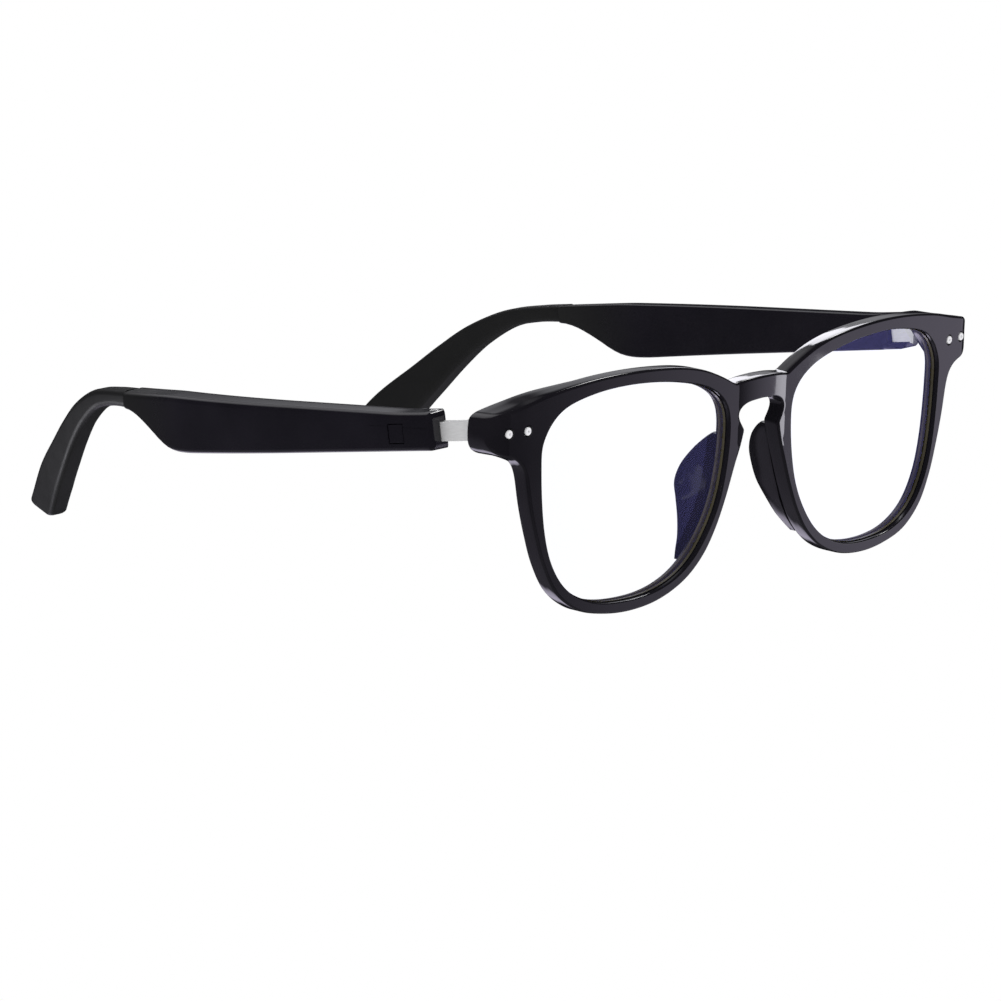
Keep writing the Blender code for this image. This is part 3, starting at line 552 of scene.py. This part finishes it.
def support_points(outer, holes, spacing, clearance):
    """Points that fill the sheet, with a dense column on each crease of the bridge."""
    edges = [point for loop in (outer, *holes) for point in loop]
    low_x, high_x = min(p.x for p in outer), max(p.x for p in outer)
    low_z, high_z = min(p.y for p in outer), max(p.y for p in outer)
    wanted = [Vector((side * BRIDGE_HALF, low_z + 0.35 * j))
              for side in (-1, 1) for j in range(int((high_z - low_z) / 0.35))]
    for i in range(1, int((high_x - low_x) / spacing)):
        for j in range(1, int((high_z - low_z) / spacing)):
            point = Vector((low_x + i * spacing, low_z + j * spacing))
            if abs(abs(point.x) - BRIDGE_HALF) > 0.7:
                wanted.append(point)
    found = []
    for point in wanted:
        if not inside(point, outer) or any(inside(point, hole) for hole in holes):
            continue
        if min((point - edge).length_squared for edge in edges) > clearance ** 2:
            found.append(point)
    return found


def sheet(outer, holes, extra):
    """A triangulated outline with holes, as points and faces."""
    points, edges = [], []
    for loop in (outer, *holes):
        start = len(points)
        points += loop
        edges += [(start + i, start + (i + 1) % len(loop)) for i in range(len(loop))]
    made = delaunay_2d_cdt(points + extra, edges, [], 1, 1e-7)
    verts, faces = made[0], made[2]
    kept = []
    for face in faces:
        middle = sum((verts[i] for i in face), Vector((0.0, 0.0))) / len(face)
        if inside(middle, outer) and not any(inside(middle, hole) for hole in holes):
            kept.append(face)
    return verts, kept


def fillet(radius, steps=5):
    """(inset, depth) pairs of a quarter round, from the wall to the face."""
    turns = [math.pi / 2 * i / (steps - 1) for i in range(steps)]
    return [(radius * (1 - math.cos(turn)), radius * (1 - math.sin(turn))) for turn in turns]


def add_loops(made, loops):
    """Skins closed loops of equal length in order."""
    for loop, after in zip(loops, loops[1:]):
        for i in range(len(loop)):
            j = (i + 1) % len(loop)
            made.faces.new((loop[i], loop[j], after[j], after[i]))


def front_mesh():
    """Two skins with a quarter round on every edge, walls between them and lens grooves."""
    outer = front_outline()
    holes = [[Vector((side * p.x, p.y)) for p in lens_outline()] for side in (1, -1)]
    made = bmesh.new()

    def ring(loop, depth):
        return [made.verts.new((p.x, depth(p), p.y)) for p in loop]

    skins = []
    for radii, surface in ((FACE_FILLETS, lambda p: face_y(p.x)),
                           (REAR_FILLETS, lambda p: back_y(p.x, p.y))):
        rim = offset(outer, -radii[0])
        openings = [offset(hole, radii[1]) for hole in holes]
        flat, faces = sheet(rim, openings, support_points(rim, openings, 1.5, 0.55))
        verts = [made.verts.new((p.x, surface(p), p.y)) for p in flat]
        for face in faces:
            made.faces.new([verts[i] for i in face])
        borders, start = [], 0
        for loop in (rim, *openings):
            borders.append(verts[start:start + len(loop)])
            start += len(loop)
        skins.append(borders)
    for index, loop in enumerate((outer, *holes)):
        grow = -1 if index == 0 else 1
        face_fillet, rear_fillet = FACE_FILLETS[index > 0], REAR_FILLETS[index > 0]
        rows = [skins[0][index]]
        for inset, depth in reversed(fillet(face_fillet)[:-1]):
            rows.append(ring(offset(loop, grow * inset),
                             lambda p, d=depth: face_y(p.x) + d))
        if index:
            grown = offset(loop, GROOVE_DEEP)
            for points, level in ((loop, LIP_FRONT), (grown, LIP_FRONT), (grown, LIP_BACK),
                                  (loop, LIP_BACK)):
                rows.append(ring(points, lambda p, d=level: BASE_CURVE * p.x ** 2 + d))
        else:
            for share in (0.33, 0.66):
                rows.append(ring(loop, lambda p, s=share: (face_y(p.x) + face_fillet) * (1 - s)
                                 + (back_y(p.x, p.y) - rear_fillet) * s))
        for inset, depth in fillet(rear_fillet)[:-1]:
            rows.append(ring(offset(loop, grow * inset),
                             lambda p, d=depth: back_y(p.x, p.y) - d))
        rows.append(skins[1][index])
        add_loops(made, rows)
    for vertex in made.verts:
        x, y, z = vertex.co
        depth = ramp(y, face_y(x), max(back_y(x, z), face_y(x) + 1.0))
        vertex.co.z -= END_DROP * end_share(x, z) * depth
    return made


def skin_normal(x, z, middle, rear):
    """The true normal of the front or rear skin at (x, z), on the side of middle at a crease."""
    if rear:
        step = 0.05
        across = (back_y(x + step, z) - back_y(x - step, z)) / (2 * step)
        up = (back_y(x, z + step) - back_y(x, z - step)) / (2 * step)
        return Vector((-across, 1.0, -up)).normalized()
    slope = 2 * BASE_CURVE * x
    if abs(middle) < BRIDGE_HALF:
        slope += 2 * BRIDGE_BULGE * x / BRIDGE_HALF ** 2
    elif abs(middle) > WRAP_FROM:
        side = math.copysign(1.0, x)
        slope += side * 2 * WRAP_BACK * (abs(x) - WRAP_FROM) / (WRAP_TO - WRAP_FROM) ** 2
    return Vector((slope, -1.0, 0.0)).normalized()


def true_normals(obj):
    """Gives both skins, and the fillets where they meet them, their true normals."""
    mesh = obj.data
    skins = {}
    for polygon in mesh.polygons:
        x, y, z = polygon.center / MM
        if polygon.normal.y < -0.8 and abs(y - face_y(x)) < 0.06:
            skins[polygon.index] = False
        elif polygon.normal.y > 0.4 and abs(y - back_y(x, z)) < 0.3:
            skins[polygon.index] = True
    owner = {}
    for index, rear in skins.items():
        for vertex in mesh.polygons[index].vertices:
            owner.setdefault(vertex, (mesh.polygons[index].center.x / MM, rear))
    normals = [Vector(corner.vector) for corner in mesh.corner_normals]
    for polygon in mesh.polygons:
        on_skin = polygon.index in skins
        for loop in polygon.loop_indices:
            vertex = mesh.loops[loop].vertex_index
            if vertex not in owner:
                continue
            middle, rear = owner[vertex]
            if on_skin:
                middle, rear = polygon.center.x / MM, skins[polygon.index]
            x, _, z = mesh.vertices[vertex].co / MM
            true = skin_normal(x, z, middle, rear)
            if on_skin or polygon.normal.dot(true) > 0.8:
                normals[loop] = true
    mesh.normals_split_custom_set(normals)


LEAN = Matrix.Rotation(TILT, 4, "X")


def lean(obj):
    """Tilts a finished piece by the front's lean."""
    obj.data.transform(LEAN)


def build_front():
    """The moulded front with its rivet holes and a dimple round each."""
    obj = new_object("front_molding", front_mesh(), (GLOSS,), 0)
    obj.data.shade_smooth()
    seats = []
    turn = Matrix.Rotation(-math.pi / 2, 4, "X")
    for side in (-1, 1):
        for x, z in RIVETS:
            front = BASE_CURVE * x * x
            profile = [(RIVET_HEAD + past, front + depth) for past, depth in DIMPLE]
            seats.append(moved(rod(profile, 32), Matrix.Translation((side * x, 0, z)) @ turn))
            drill = rod(((RIVET_SHANK + GAP, 1.0), (RIVET_SHANK + GAP, 12.0)), 16)
            seats.append(moved(drill, Matrix.Translation((side * x, 0, z)) @ turn))
    carve(obj, seats)
    obj.data.shade_smooth()
    obj.data.set_sharp_from_angle(angle=math.radians(40))
    true_normals(obj)
    lean(obj)
    place(obj, "front", "gloss_black", "front_frame")


def build_lens(prefix, side):
    """A lens whose bead sits in the groove of its rim."""
    outline = [Vector((side * p.x, p.y)) for p in lens_outline(0.8)]
    rim = offset(outline, -GAP - 0.05)
    bead = offset(outline, LENS_BEAD)
    flat, faces = sheet(rim, [], support_points(rim, [], 3.0, 1.0))
    made = bmesh.new()

    def ring(loop, depth):
        return [made.verts.new((p.x, BASE_CURVE * p.x * p.x + depth, p.y)) for p in loop]

    front, back = ring(flat, LENS_FRONT), ring(flat, LENS_BACK)
    for row in (front, back):
        for face in faces:
            made.faces.new([row[i] for i in face])
    loops = [front[:len(rim)]]
    for edge, depth in ((rim, LIP_FRONT + 0.2), (bead, LIP_FRONT + 0.3),
                        (bead, LIP_BACK - 0.3), (rim, LIP_BACK - 0.2)):
        loops.append(ring(edge, depth))
    loops.append(back[:len(rim)])
    plain = set(made.faces)
    add_loops(made, loops)
    for face in made.faces:
        face.material_index = 0 if face in plain else 1
    obj = new_object(f"{prefix}_lens_pane", made, (LENS, LENS_EDGE), 40.0)
    lean(obj)
    place(obj, "front", "clear_lens", f"{prefix}_lens")


def build_nose_pad(prefix, side):
    """A moulded wing: a smooth skin through its stations."""
    rings = []
    half, last = PAD_HALF, len(PAD_STATIONS) - 1
    for i in range(last):
        for k in range(6 if i < last - 1 else 7):
            rows = [PAD_STATIONS[min(max(i + n, 0), last)] for n in (-1, 0, 1, 2)]
            z, nasal, lens_side, rear_x, rear_y = (curve_at(*four, k / 6) for four in zip(*rows))
            seat = back_y(nasal, z) + GAP
            reach = rear_y - seat
            corners = ((nasal, seat), (nasal + 0.35 * (rear_x - half - nasal), seat + 0.5 * reach),
                       (rear_x - half, seat + 0.88 * reach), (rear_x - 0.1, rear_y),
                       (rear_x + half, seat + 0.86 * reach),
                       (lens_side + 0.5 * (rear_x + half - lens_side), seat + 0.45 * reach),
                       (lens_side, back_y(lens_side, z) + GAP))
            skin = []
            for j in range(6):
                four = [Vector(corners[min(max(j + n, 0), 6)]) for n in (-1, 0, 1, 2)]
                skin += [curve_at(*four, m / 4) for m in range(4)]
            skin.append(Vector(corners[-1]))
            rings.append([(side * point.x, point.y, z) for point in skin])
    obj = new_object(f"{prefix}_pad_wing", loft(rings), (GLOSS,), 60.0)
    finish_edges(obj, 0.18, 2, 55.0, 50.0)
    lean(obj)
    place(obj, "front", "gloss_black", f"{prefix}_nose_pad")


def build_hinge(prefix, side):
    """A tongue with its plate, both rivets and the pin screw."""
    seat = END_BACK + GAP
    half = (TONGUE_X[1] - TONGUE_X[0]) / 2
    outline = [(PIN_X - half, TONGUE_FROM), (PIN_X + half, TONGUE_FROM)]
    for i in range(25):
        angle = math.pi * i / 24
        outline.append((PIN_X + half * math.cos(angle), PIN_Y + half * math.sin(angle)))
    tongue = loft([[(side * x, y, z) for x, y in outline] for z in TONGUE_Z])
    obj = new_object(f"{prefix}_tongue", tongue, (STEEL,), 0)
    plate = box((side * PLATE_X[0], side * PLATE_X[1]), (seat, seat + PLATE_THICK), PLATE_Z)
    carve(obj, [moved(plate, LEAN)], "UNION")
    turn = Matrix.Rotation(-math.pi / 2, 4, "X")
    eye = rod(((PIN_R + PIN_PLAY, 12.0), (PIN_R + PIN_PLAY, 22.0)), 24)
    at_pin = Matrix.Translation((side * PIN_X, PIN_Y, 0))
    holes = [moved(eye, at_pin)]
    for x, z in RIVETS:
        drill = rod(((RIVET_SHANK + RIVET_PLAY, seat - 0.5),
                     (RIVET_SHANK + RIVET_PLAY, seat + 0.7)), 16)
        holes.append(moved(drill, LEAN @ Matrix.Translation((side * x, 0, z)) @ turn))
    carve(obj, holes)
    finish_edges(obj, 0.14, 3, 40.0, 30.0)
    place(obj, "front", "satin_steel", f"{prefix}_hinge_tongue")
    for index, (x, z) in enumerate(RIVETS):
        front = BASE_CURVE * x * x
        r = RIVET_HEAD
        steps = ((0.1, front + 0.42), (0.2, front + 0.4), (0.25, front - RIVET_PROUD + 0.05),
                 (0.32, front - RIVET_PROUD), (r * 0.75, front - RIVET_PROUD * 0.9),
                 (r * 0.92, front - RIVET_PROUD * 0.5), (r, front + 0.02), (r, front + 0.45),
                 (RIVET_SHANK, front + 0.45), (RIVET_SHANK, seat + 0.6))
        rivet = moved(rod(steps, 32), Matrix.Translation((side * x, 0, z)) @ turn)
        where = ("inner", "outer")[index]
        head = new_object(f"{prefix}_{where}_rivet_head", rivet, (RIVET_STEEL,), 40.0)
        lean(head)
        place(head, "front", "satin_steel", f"{prefix}_{where}_rivet")
    screw = rod(((PIN_R, PIN_Z[0]), (PIN_R, PIN_HEAD_Z), (PIN_HEAD_R, PIN_HEAD_Z),
                 (PIN_HEAD_R, PIN_Z[1] - 0.15), (PIN_HEAD_R - 0.2, PIN_Z[1])), 28)
    screw = new_object(f"{prefix}_screw", moved(screw, at_pin), (STEEL,), 0)
    carve(screw, [box((side * PIN_X - 2, side * PIN_X + 2), (PIN_Y - 0.15, PIN_Y + 0.15),
                      (PIN_Z[1] - 0.3, 21.0))])
    finish_edges(screw, 0.04, 2, 40.0, 40.0)
    place(screw, f"{prefix}_temple", "satin_steel", f"{prefix}_hinge_screw")


# ---------- temples ----------

def bend(y):
    """How far inwards the temple has curved at y."""
    run = max(y - BEND_FROM, 0.0)
    if run < BEND_OVER:
        return BEND_SLOPE * run * run / (2 * BEND_OVER)
    return BEND_SLOPE * (run - BEND_OVER / 2)


def eased(y, table, reach=1.6):
    """An edge line with its corners eased, as a mean over a short stretch."""
    marks = [y + reach * (k - 3) / 3 for k in range(7)]
    marks = [min(max(mark, HOUSING_Y[0]), HOUSING_Y[1]) for mark in marks]
    return sum(between(mark, table) for mark in marks) / len(marks)


def rounded_section(corners, radii, steps=5):
    """A four-cornered section with its own radius at each corner, as (x, z) points."""
    points = []
    for i, (corner, radius) in enumerate(zip(corners, radii)):
        corner = Vector(corner)
        before = (Vector(corners[i - 1]) - corner).normalized()
        after = (Vector(corners[(i + 1) % 4]) - corner).normalized()
        for k in range(steps + 1):
            turn = k / steps * math.pi / 2
            points.append(corner + before * radius * (1 - math.sin(turn))
                          + after * radius * (1 - math.cos(turn)))
    return points


def run_of(start, end, step):
    """Evenly spaced values from start to end, at most a step apart."""
    count = max(2, math.ceil((end - start) / step))
    return [start + (end - start) * i / count for i in range(count + 1)]


def housing(side, start, end, outer, inner, radii, nose=0.0, drop=TOP_DROP):
    """A housing skin: rounded sections along the temple's bend, with a rounded front end."""
    marks = [(y, 0.0) for y in run_of(start + nose, end, 1.3)]
    if nose:
        lead = [(start + depth, inset) for inset, depth in reversed(fillet(nose, 5)[1:])]
        marks = lead + marks
    rings = []
    for y, inset in marks:
        low, high = eased(y, UNDERSIDE) + inset, eased(y, TOP_EDGE) - inset
        corners = ((outer - inset, low), (outer - inset, high - drop), (inner + inset, high),
                   (inner + inset, low))
        shape = rounded_section(corners, [max(r - inset, 0.05) for r in radii])
        rings.append([(side * (p.x - bend(y)), y, p.y) for p in shape])
    return loft(rings)


def plain_rings(side, start, end, outer, inner, inset):
    """A square-cornered cutter along the temple, inset from its lower and upper edges."""
    rings = []
    for y in run_of(start, end, 2.6):
        low, high = eased(y, UNDERSIDE) + inset, eased(y, TOP_EDGE) - inset
        corners = ((outer, low), (outer, high), (inner, high), (inner, low))
        rings.append([(side * (x - bend(y)), y, z) for x, z in corners])
    return loft(rings)


def side_box(side, outer, inner, y, z):
    """A box that follows the temple's bend."""
    made = box((side * outer, side * inner), y, z)
    for vertex in made.verts:
        vertex.co.x -= side * bend(vertex.co.y)
    return made


def seam_groove(side):
    """A hairline on the outer face that rises gently from the front end past the key."""
    rings = []
    for y, z in SEAM:
        rings.append([(side * (x - bend(y)), y, z + dz) for x, dz in
                      ((OUTER_X + 1, -0.06), (OUTER_X + 1, 0.06), (OUTER_X - 0.1, 0.03),
                       (OUTER_X - 0.1, -0.03))])
    return loft(rings)


def build_shell(prefix, side):
    """The outer half of a housing, with its fork, hollow and openings."""
    solid = housing(side, HOUSING_Y[0], HOUSING_Y[1], OUTER_X, INNER_X, SHELL_CORNERS,
                    nose=SHELL_NOSE)
    shell = new_object(f"{prefix}_outer_shell", solid, (TEMPLE,), 0)
    open_side = INNER_X - 3.0
    (near_x, near_y), (far_x, far_y) = MITRE
    mitre = ((near_x, near_y - 3), (near_x, near_y), (far_x, far_y), (far_x - 2, far_y),
             (far_x - 2, near_y - 3))
    at_pin = Matrix.Translation((side * PIN_X, PIN_Y, 0))
    carve(shell, [
        plain_rings(side, COVER_Y - GAP, HOUSING_Y[1] + 2, SPLIT_X, open_side, -3.0),
        plain_rings(side, HOLLOW_Y[0], HOLLOW_Y[1], OUTER_X - WALL, open_side, WALL - 0.1),
        side_box(side, TONGUE_X[1] + 0.2, open_side, (10.0, FORK_DEEP),
                 (TONGUE_Z[0] - GAP, TONGUE_Z[1] + GAP)),
        loft([[(side * x, y, z) for x, y in mitre] for z in THROUGH_Z]),
        moved(rod(((PIN_R + 0.1, PIN_Z[0]), (PIN_R + 0.1, 25.0)), 24), at_pin),
        moved(rod(((PIN_HEAD_R + 0.15, PIN_HEAD_Z - 0.1), (PIN_HEAD_R + 0.15, 25.0)), 28), at_pin),
        side_box(side, OUTER_X + 1, OUTER_X - WALL - 0.5, (KEY_Y[0] - KEY_PLAY, KEY_Y[1] + KEY_PLAY),
                 (KEY_Z[0] - KEY_PLAY, KEY_Z[1] + KEY_PLAY)),
        side_box(side, GRILLE[2][0] + GAP, GRILLE[2][1] - GAP,
                 (GRILLE[0][0] - GAP, GRILLE[0][1] + GAP), (11.0, 14.6)),
        moved(rod(((PORT_R, 11.0), (PORT_R, 14.5)), 16),
              Matrix.Translation((side * PORT_X, PORT_Y, 0))),
        loft([[(side * (x - bend(y)), y, z) for x, z in
               ((NECK_SLOT_X, CORE_Z - NECK_SLOT_HALF), (NECK_SLOT_X, CORE_Z + NECK_SLOT_HALF),
                (open_side, CORE_Z + NECK_SLOT_HALF), (open_side, CORE_Z - NECK_SLOT_HALF))]
              for y in NECK_SLOT_Y]),
        seam_groove(side),
    ])
    finish_edges(shell, 0.07, 2, 45.0, 35.0)
    place(shell, f"{prefix}_temple", "gloss_black", f"{prefix}_temple_shell")


def build_cover(prefix, side):
    """The inner half of a housing, with its contact holes."""
    cover = new_object(f"{prefix}_inner_cover",
                       housing(side, COVER_Y, HOUSING_Y[1], SPLIT_X - GAP, INNER_X,
                               COVER_CORNERS, drop=0.0), (TEMPLE,), 0)
    holes = []
    turn = Matrix.Rotation(math.pi / 2, 4, "Y")
    for y in CONTACT_Y:
        hole = moved(rod([(CONTACT_R + GAP, x) for x in CONTACT_X], 32),
                     Matrix.Translation((0, y, CONTACT_Z)) @ turn)
        if side < 0:
            hole = moved(hole, Matrix.Translation((-sum(CONTACT_X), 0, 0)))
        holes.append(hole)
    carve(cover, holes)
    finish_edges(cover, 0.05, 2, 50.0, 35.0)
    place(cover, f"{prefix}_temple", "gloss_black", f"{prefix}_temple_cover")


def tip_frames(step=1.0):
    """(y, z, slope, height, thickness) along the ear tip."""
    rows = [Vector((y, z, h)) for (y, z), h in zip(TIP_PATH, TIP_HEIGHT)]
    path = flow(rows, step)
    frames = []
    for i, row in enumerate(path):
        after, before = path[min(i + 1, len(path) - 1)], path[max(i - 1, 0)]
        slope = math.atan2(after.y - before.y, after.x - before.x)
        thick = between(row.x, [(y, t) for (y, _), t in zip(TIP_PATH, TIP_THICK)])
        frames.append((row.x, row.y, slope, row.z, thick))
    return frames


def tip_ring(at, side, height, thick, corner, skew=0.0, shift=0.0):
    """A rounded section square to the path, or leaning along it by skew."""
    y, z, slope = at[:3]
    middle = (OUTER_X + INNER_X) / 2 - bend(y) - shift
    half_x, half_z = thick / 2, height / 2
    corner = min(corner, 0.98 * half_x, 0.98 * half_z)
    corners = ((half_x, -half_z), (half_x, half_z), (-half_x, half_z), (-half_x, -half_z))
    ring = []
    for across, up in rounded_section(corners, [corner] * 4, 6):
        back = skew * up
        lean_y = -math.sin(slope) * up - math.cos(slope) * back
        along = bend(y) - bend(y + lean_y)
        rise = math.cos(slope) * up - math.sin(slope) * back
        ring.append((side * (middle + across + along), y + lean_y, z + rise))
    return ring


def build_tip(prefix, side):
    """An ear tip with a rounded end and a channel for its core."""
    frames = tip_frames()
    rings = [tip_ring(at, side, at[3], at[4], TIP_CORNER,
                      TIP_SKEW * ramp(at[0], *TIP_SKEW_OVER)) for at in frames]
    y, z, slope, height, thick = frames[-1]
    for inset, depth in fillet(TIP_END_ROUND, 7):
        reach = TIP_REACH - depth
        ahead = (y + reach * math.cos(slope), z + reach * math.sin(slope), slope)
        rings.append(tip_ring(ahead, side, height - 3 * inset, thick - 2 * inset, TIP_CORNER,
                              TIP_SKEW * ramp(ahead[0], *TIP_SKEW_OVER)))
    sleeve = new_object(f"{prefix}_tip_cover", loft(rings), (RUBBER,), 0)
    wide, tall = CORE_THICK + 2 * GAP, CORE_HEIGHT + 2 * GAP
    core = [(frames[0][0] - 2, frames[0][1], 0.0)] + [at for at in frames if at[0] < CORE_END]
    channel = [tip_ring(at, side, tall, wide, 0.05, shift=CORE_INWARD) for at in core]
    carve(sleeve, [loft(channel)])
    finish_edges(sleeve, 0.0, 1, 40.0, 45.0)
    place(sleeve, f"{prefix}_temple", "matte_rubber", f"{prefix}_tip_sleeve")


def build_key(prefix, side):
    """A key cap with its retaining flange."""
    cap = new_object(f"{prefix}_key_cap",
                     side_box(side, OUTER_X - KEY_RECESS, OUTER_X - WALL - 0.35, KEY_Y, KEY_Z),
                     (TEMPLE,), 0)
    flange = side_box(side, OUTER_X - WALL - GAP, OUTER_X - WALL - GAP - 0.4,
                      (KEY_Y[0] - 0.4, KEY_Y[1] + 0.4), (KEY_Z[0] - 0.25, KEY_Z[1] + 0.4))
    carve(cap, [flange], "UNION")
    finish_edges(cap, 0.1, 3, 40.0, 30.0)
    place(cap, f"{prefix}_key", "gloss_black", f"{prefix}_touch_key")


def build_grille(prefix, side):
    """A thin insert with two rows of sound holes."""
    (y0, y1), z, x = GRILLE
    plate = new_object(f"{prefix}_grille", side_box(side, x[0], x[1], (y0, y1), z), (STEEL,), 0)
    drills = []
    for row in SOUND_ROWS:
        for i in range(SOUND_HOLES):
            y = y0 + (i + 0.5) * (y1 - y0) / SOUND_HOLES
            centre = side * ((x[0] + x[1]) / 2 + row - bend(y))
            drills.append(moved(rod(((SOUND_HOLE_R, 12.0), (SOUND_HOLE_R, 15.0)), 12),
                                Matrix.Translation((centre, y, 0))))
    carve(plate, drills)
    finish_edges(plate, 0.04, 1, 50.0, 35.0)
    place(plate, f"{prefix}_temple", "satin_steel", f"{prefix}_speaker_grille")


# ---------- carried-over parts, camera, light and floor ----------

CARRIED = {
    "tip_core": STEEL, "key_switch": DARK, "circuit_board": BOARD_GREEN, "microphone": STEEL,
    "battery": FOIL, "speaker": DARK, "front_charge_contact": GOLD, "rear_charge_contact": GOLD,
}


def dress_carried():
    """Gives the pieces that keep their CAD shape their materials."""
    for prefix in ("right", "left"):
        for part, finish in CARRIED.items():
            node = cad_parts[f"{prefix}_{part}"]
            node.data.materials.clear()
            node.data.materials.append(finish)


def camera_matrix():
    """The camera's place from its target, distance and three turns."""
    turn, pitch, roll = CAMERA_TURN, CAMERA_PITCH, CAMERA_ROLL
    flat = math.cos(pitch)
    look = Vector((math.sin(turn) * flat, math.cos(turn) * flat, -math.sin(pitch)))
    right = Vector((math.cos(turn), -math.sin(turn), 0))
    up = right.cross(look)
    across = right * math.cos(roll) + up * math.sin(roll)
    above = up * math.cos(roll) - right * math.sin(roll)
    at = (Vector(CAMERA_TARGET) - look * CAMERA_AWAY) * MM
    placed = Matrix((across, above, -look)).transposed().to_4x4()
    placed.translation = at
    return Matrix.Translation(BRIDGE_PLACE * MM) @ LEAN @ placed


def add_camera():
    """The one camera, from the near front corner."""
    camera = bpy.data.objects.new("camera", bpy.data.cameras.new("camera"))
    bpy.context.scene.collection.objects.link(camera)
    camera.matrix_world = camera_matrix()
    camera.data.lens = CAMERA_LENS
    camera.data.sensor_width = SENSOR
    camera.data.clip_start = CLIP_START
    bpy.context.scene.camera = camera
    return camera


def glow_in(tree, source, centre, inner, outer, colour, strength):
    """A soft round light in the surroundings, as seen by reflections."""
    dot = node(tree, "VectorMath")
    dot.operation = "DOT_PRODUCT"
    dot.inputs[1].default_value = Vector(centre).normalized()
    tree.links.new(source, dot.inputs[0])
    soft = node(tree, "MapRange")
    soft.interpolation_type = "SMOOTHSTEP"
    soft.inputs["From Min"].default_value = math.cos(math.radians(outer))
    soft.inputs["From Max"].default_value = math.cos(math.radians(inner))
    tree.links.new(dot.outputs["Value"], soft.inputs["Value"])
    scaled = node(tree, "VectorMath")
    scaled.operation = "SCALE"
    scaled.inputs[0].default_value = [c * strength for c in colour]
    tree.links.new(soft.outputs["Result"], scaled.inputs["Scale"])
    return scaled.outputs["Vector"]


def show(tree, to_eye, to_reflections, output):
    """Shows one shader to the eye and another to reflections."""
    rays = node(tree, "LightPath")
    choose = node(tree, "MixShader")
    tree.links.new(rays.outputs["Is Glossy Ray"], choose.inputs["Fac"])
    tree.links.new(to_eye, choose.inputs[1])
    tree.links.new(to_reflections, choose.inputs[2])
    tree.links.new(choose.outputs["Shader"], tree.nodes[output].inputs["Surface"])


def build_world(camera):
    """White to the eye; reflections see a dark studio with soft boxes."""
    world = bpy.data.worlds.new("studio")
    bpy.context.scene.world = world
    world.use_nodes = True
    tree = world.node_tree
    coords = node(tree, "TexCoord")
    view = camera.matrix_world.to_3x3() @ Vector((0, 0, -1))
    ahead = Vector((view.x, view.y, 0)).normalized()
    right = ahead.cross(Vector((0, 0, 1)))
    up = Vector((0, 0, 1))
    total = None
    for (across, along, above), *glow in STUDIO_GLOWS:
        centre = right * across + ahead * along + up * above
        added = node(tree, "VectorMath")
        added.inputs[1].default_value = STUDIO_DARK
        if total:
            tree.links.new(total, added.inputs[1])
        tree.links.new(glow_in(tree, coords.outputs["Generated"], centre, *glow), added.inputs[0])
        total = added.outputs["Vector"]
    seen = tree.nodes["Background"]
    seen.inputs["Color"].default_value = (*WHITE, 1.0)
    reflected = node(tree, "Background")
    tree.links.new(total, reflected.inputs["Color"])
    show(tree, seen.outputs["Background"], reflected.outputs["Background"], "World Output")


def add_soft_box(name, at, aim, size, spread_angle, power, receivers):
    """A small soft box beside the glasses that lights only the named pieces."""
    lamp = bpy.data.lights.new(name, "AREA")
    lamp.shape = "RECTANGLE"
    lamp.size, lamp.size_y = (length * MM for length in size)
    lamp.energy = power
    lamp.color = SOFT_BOX_TINT
    lamp.spread = math.radians(spread_angle)
    light = bpy.data.objects.new(name, lamp)
    bpy.context.scene.collection.objects.link(light)
    at, aim = Vector(at), Vector(aim)
    light.location = (BRIDGE_PLACE + at) * MM
    light.rotation_euler = (aim - at).to_track_quat("-Z", "X").to_euler()
    light.visible_camera = False
    lit = bpy.data.collections.new(f"{name}_receivers")
    for receiver in receivers:
        lit.objects.link(bpy.data.objects[receiver])
    light.light_linking.receiver_collection = lit


def build_floor():
    """A plain pale floor that reflections pass through."""
    low = min(corner.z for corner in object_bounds())
    made = bmesh.new()
    bmesh.ops.create_grid(made, x_segments=1, y_segments=1, size=FLOOR_HALF / MM)
    floor = new_object("floor", made, (), 0)
    floor.location.z = low - FLOOR_GAP
    finish, tree, shader = node_material("pale_floor")
    tree.nodes.remove(shader)
    glow = node(tree, "Emission")
    glow.inputs["Strength"].default_value = 1.0
    clear = node(tree, "BsdfTransparent")
    show(tree, glow.outputs["Emission"], clear.outputs["BSDF"], "Material Output")
    floor.data.materials.append(finish)
    floor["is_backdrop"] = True


def main():
    build_front()
    for prefix, side in (("right", -1), ("left", 1)):
        build_lens(prefix, side)
        build_nose_pad(prefix, side)
        build_hinge(prefix, side)
        build_shell(prefix, side)
        build_cover(prefix, side)
        build_tip(prefix, side)
        build_key(prefix, side)
        build_grille(prefix, side)
    dress_carried()
    camera = add_camera()
    build_world(camera)
    for soft_box in SOFT_BOXES:
        add_soft_box(*soft_box)
    build_floor()
    scene = bpy.context.scene
    scene.view_settings.view_transform = "Standard"
    scene.cycles.max_bounces = 8
    scene.cycles.transparent_max_bounces = 12


main()
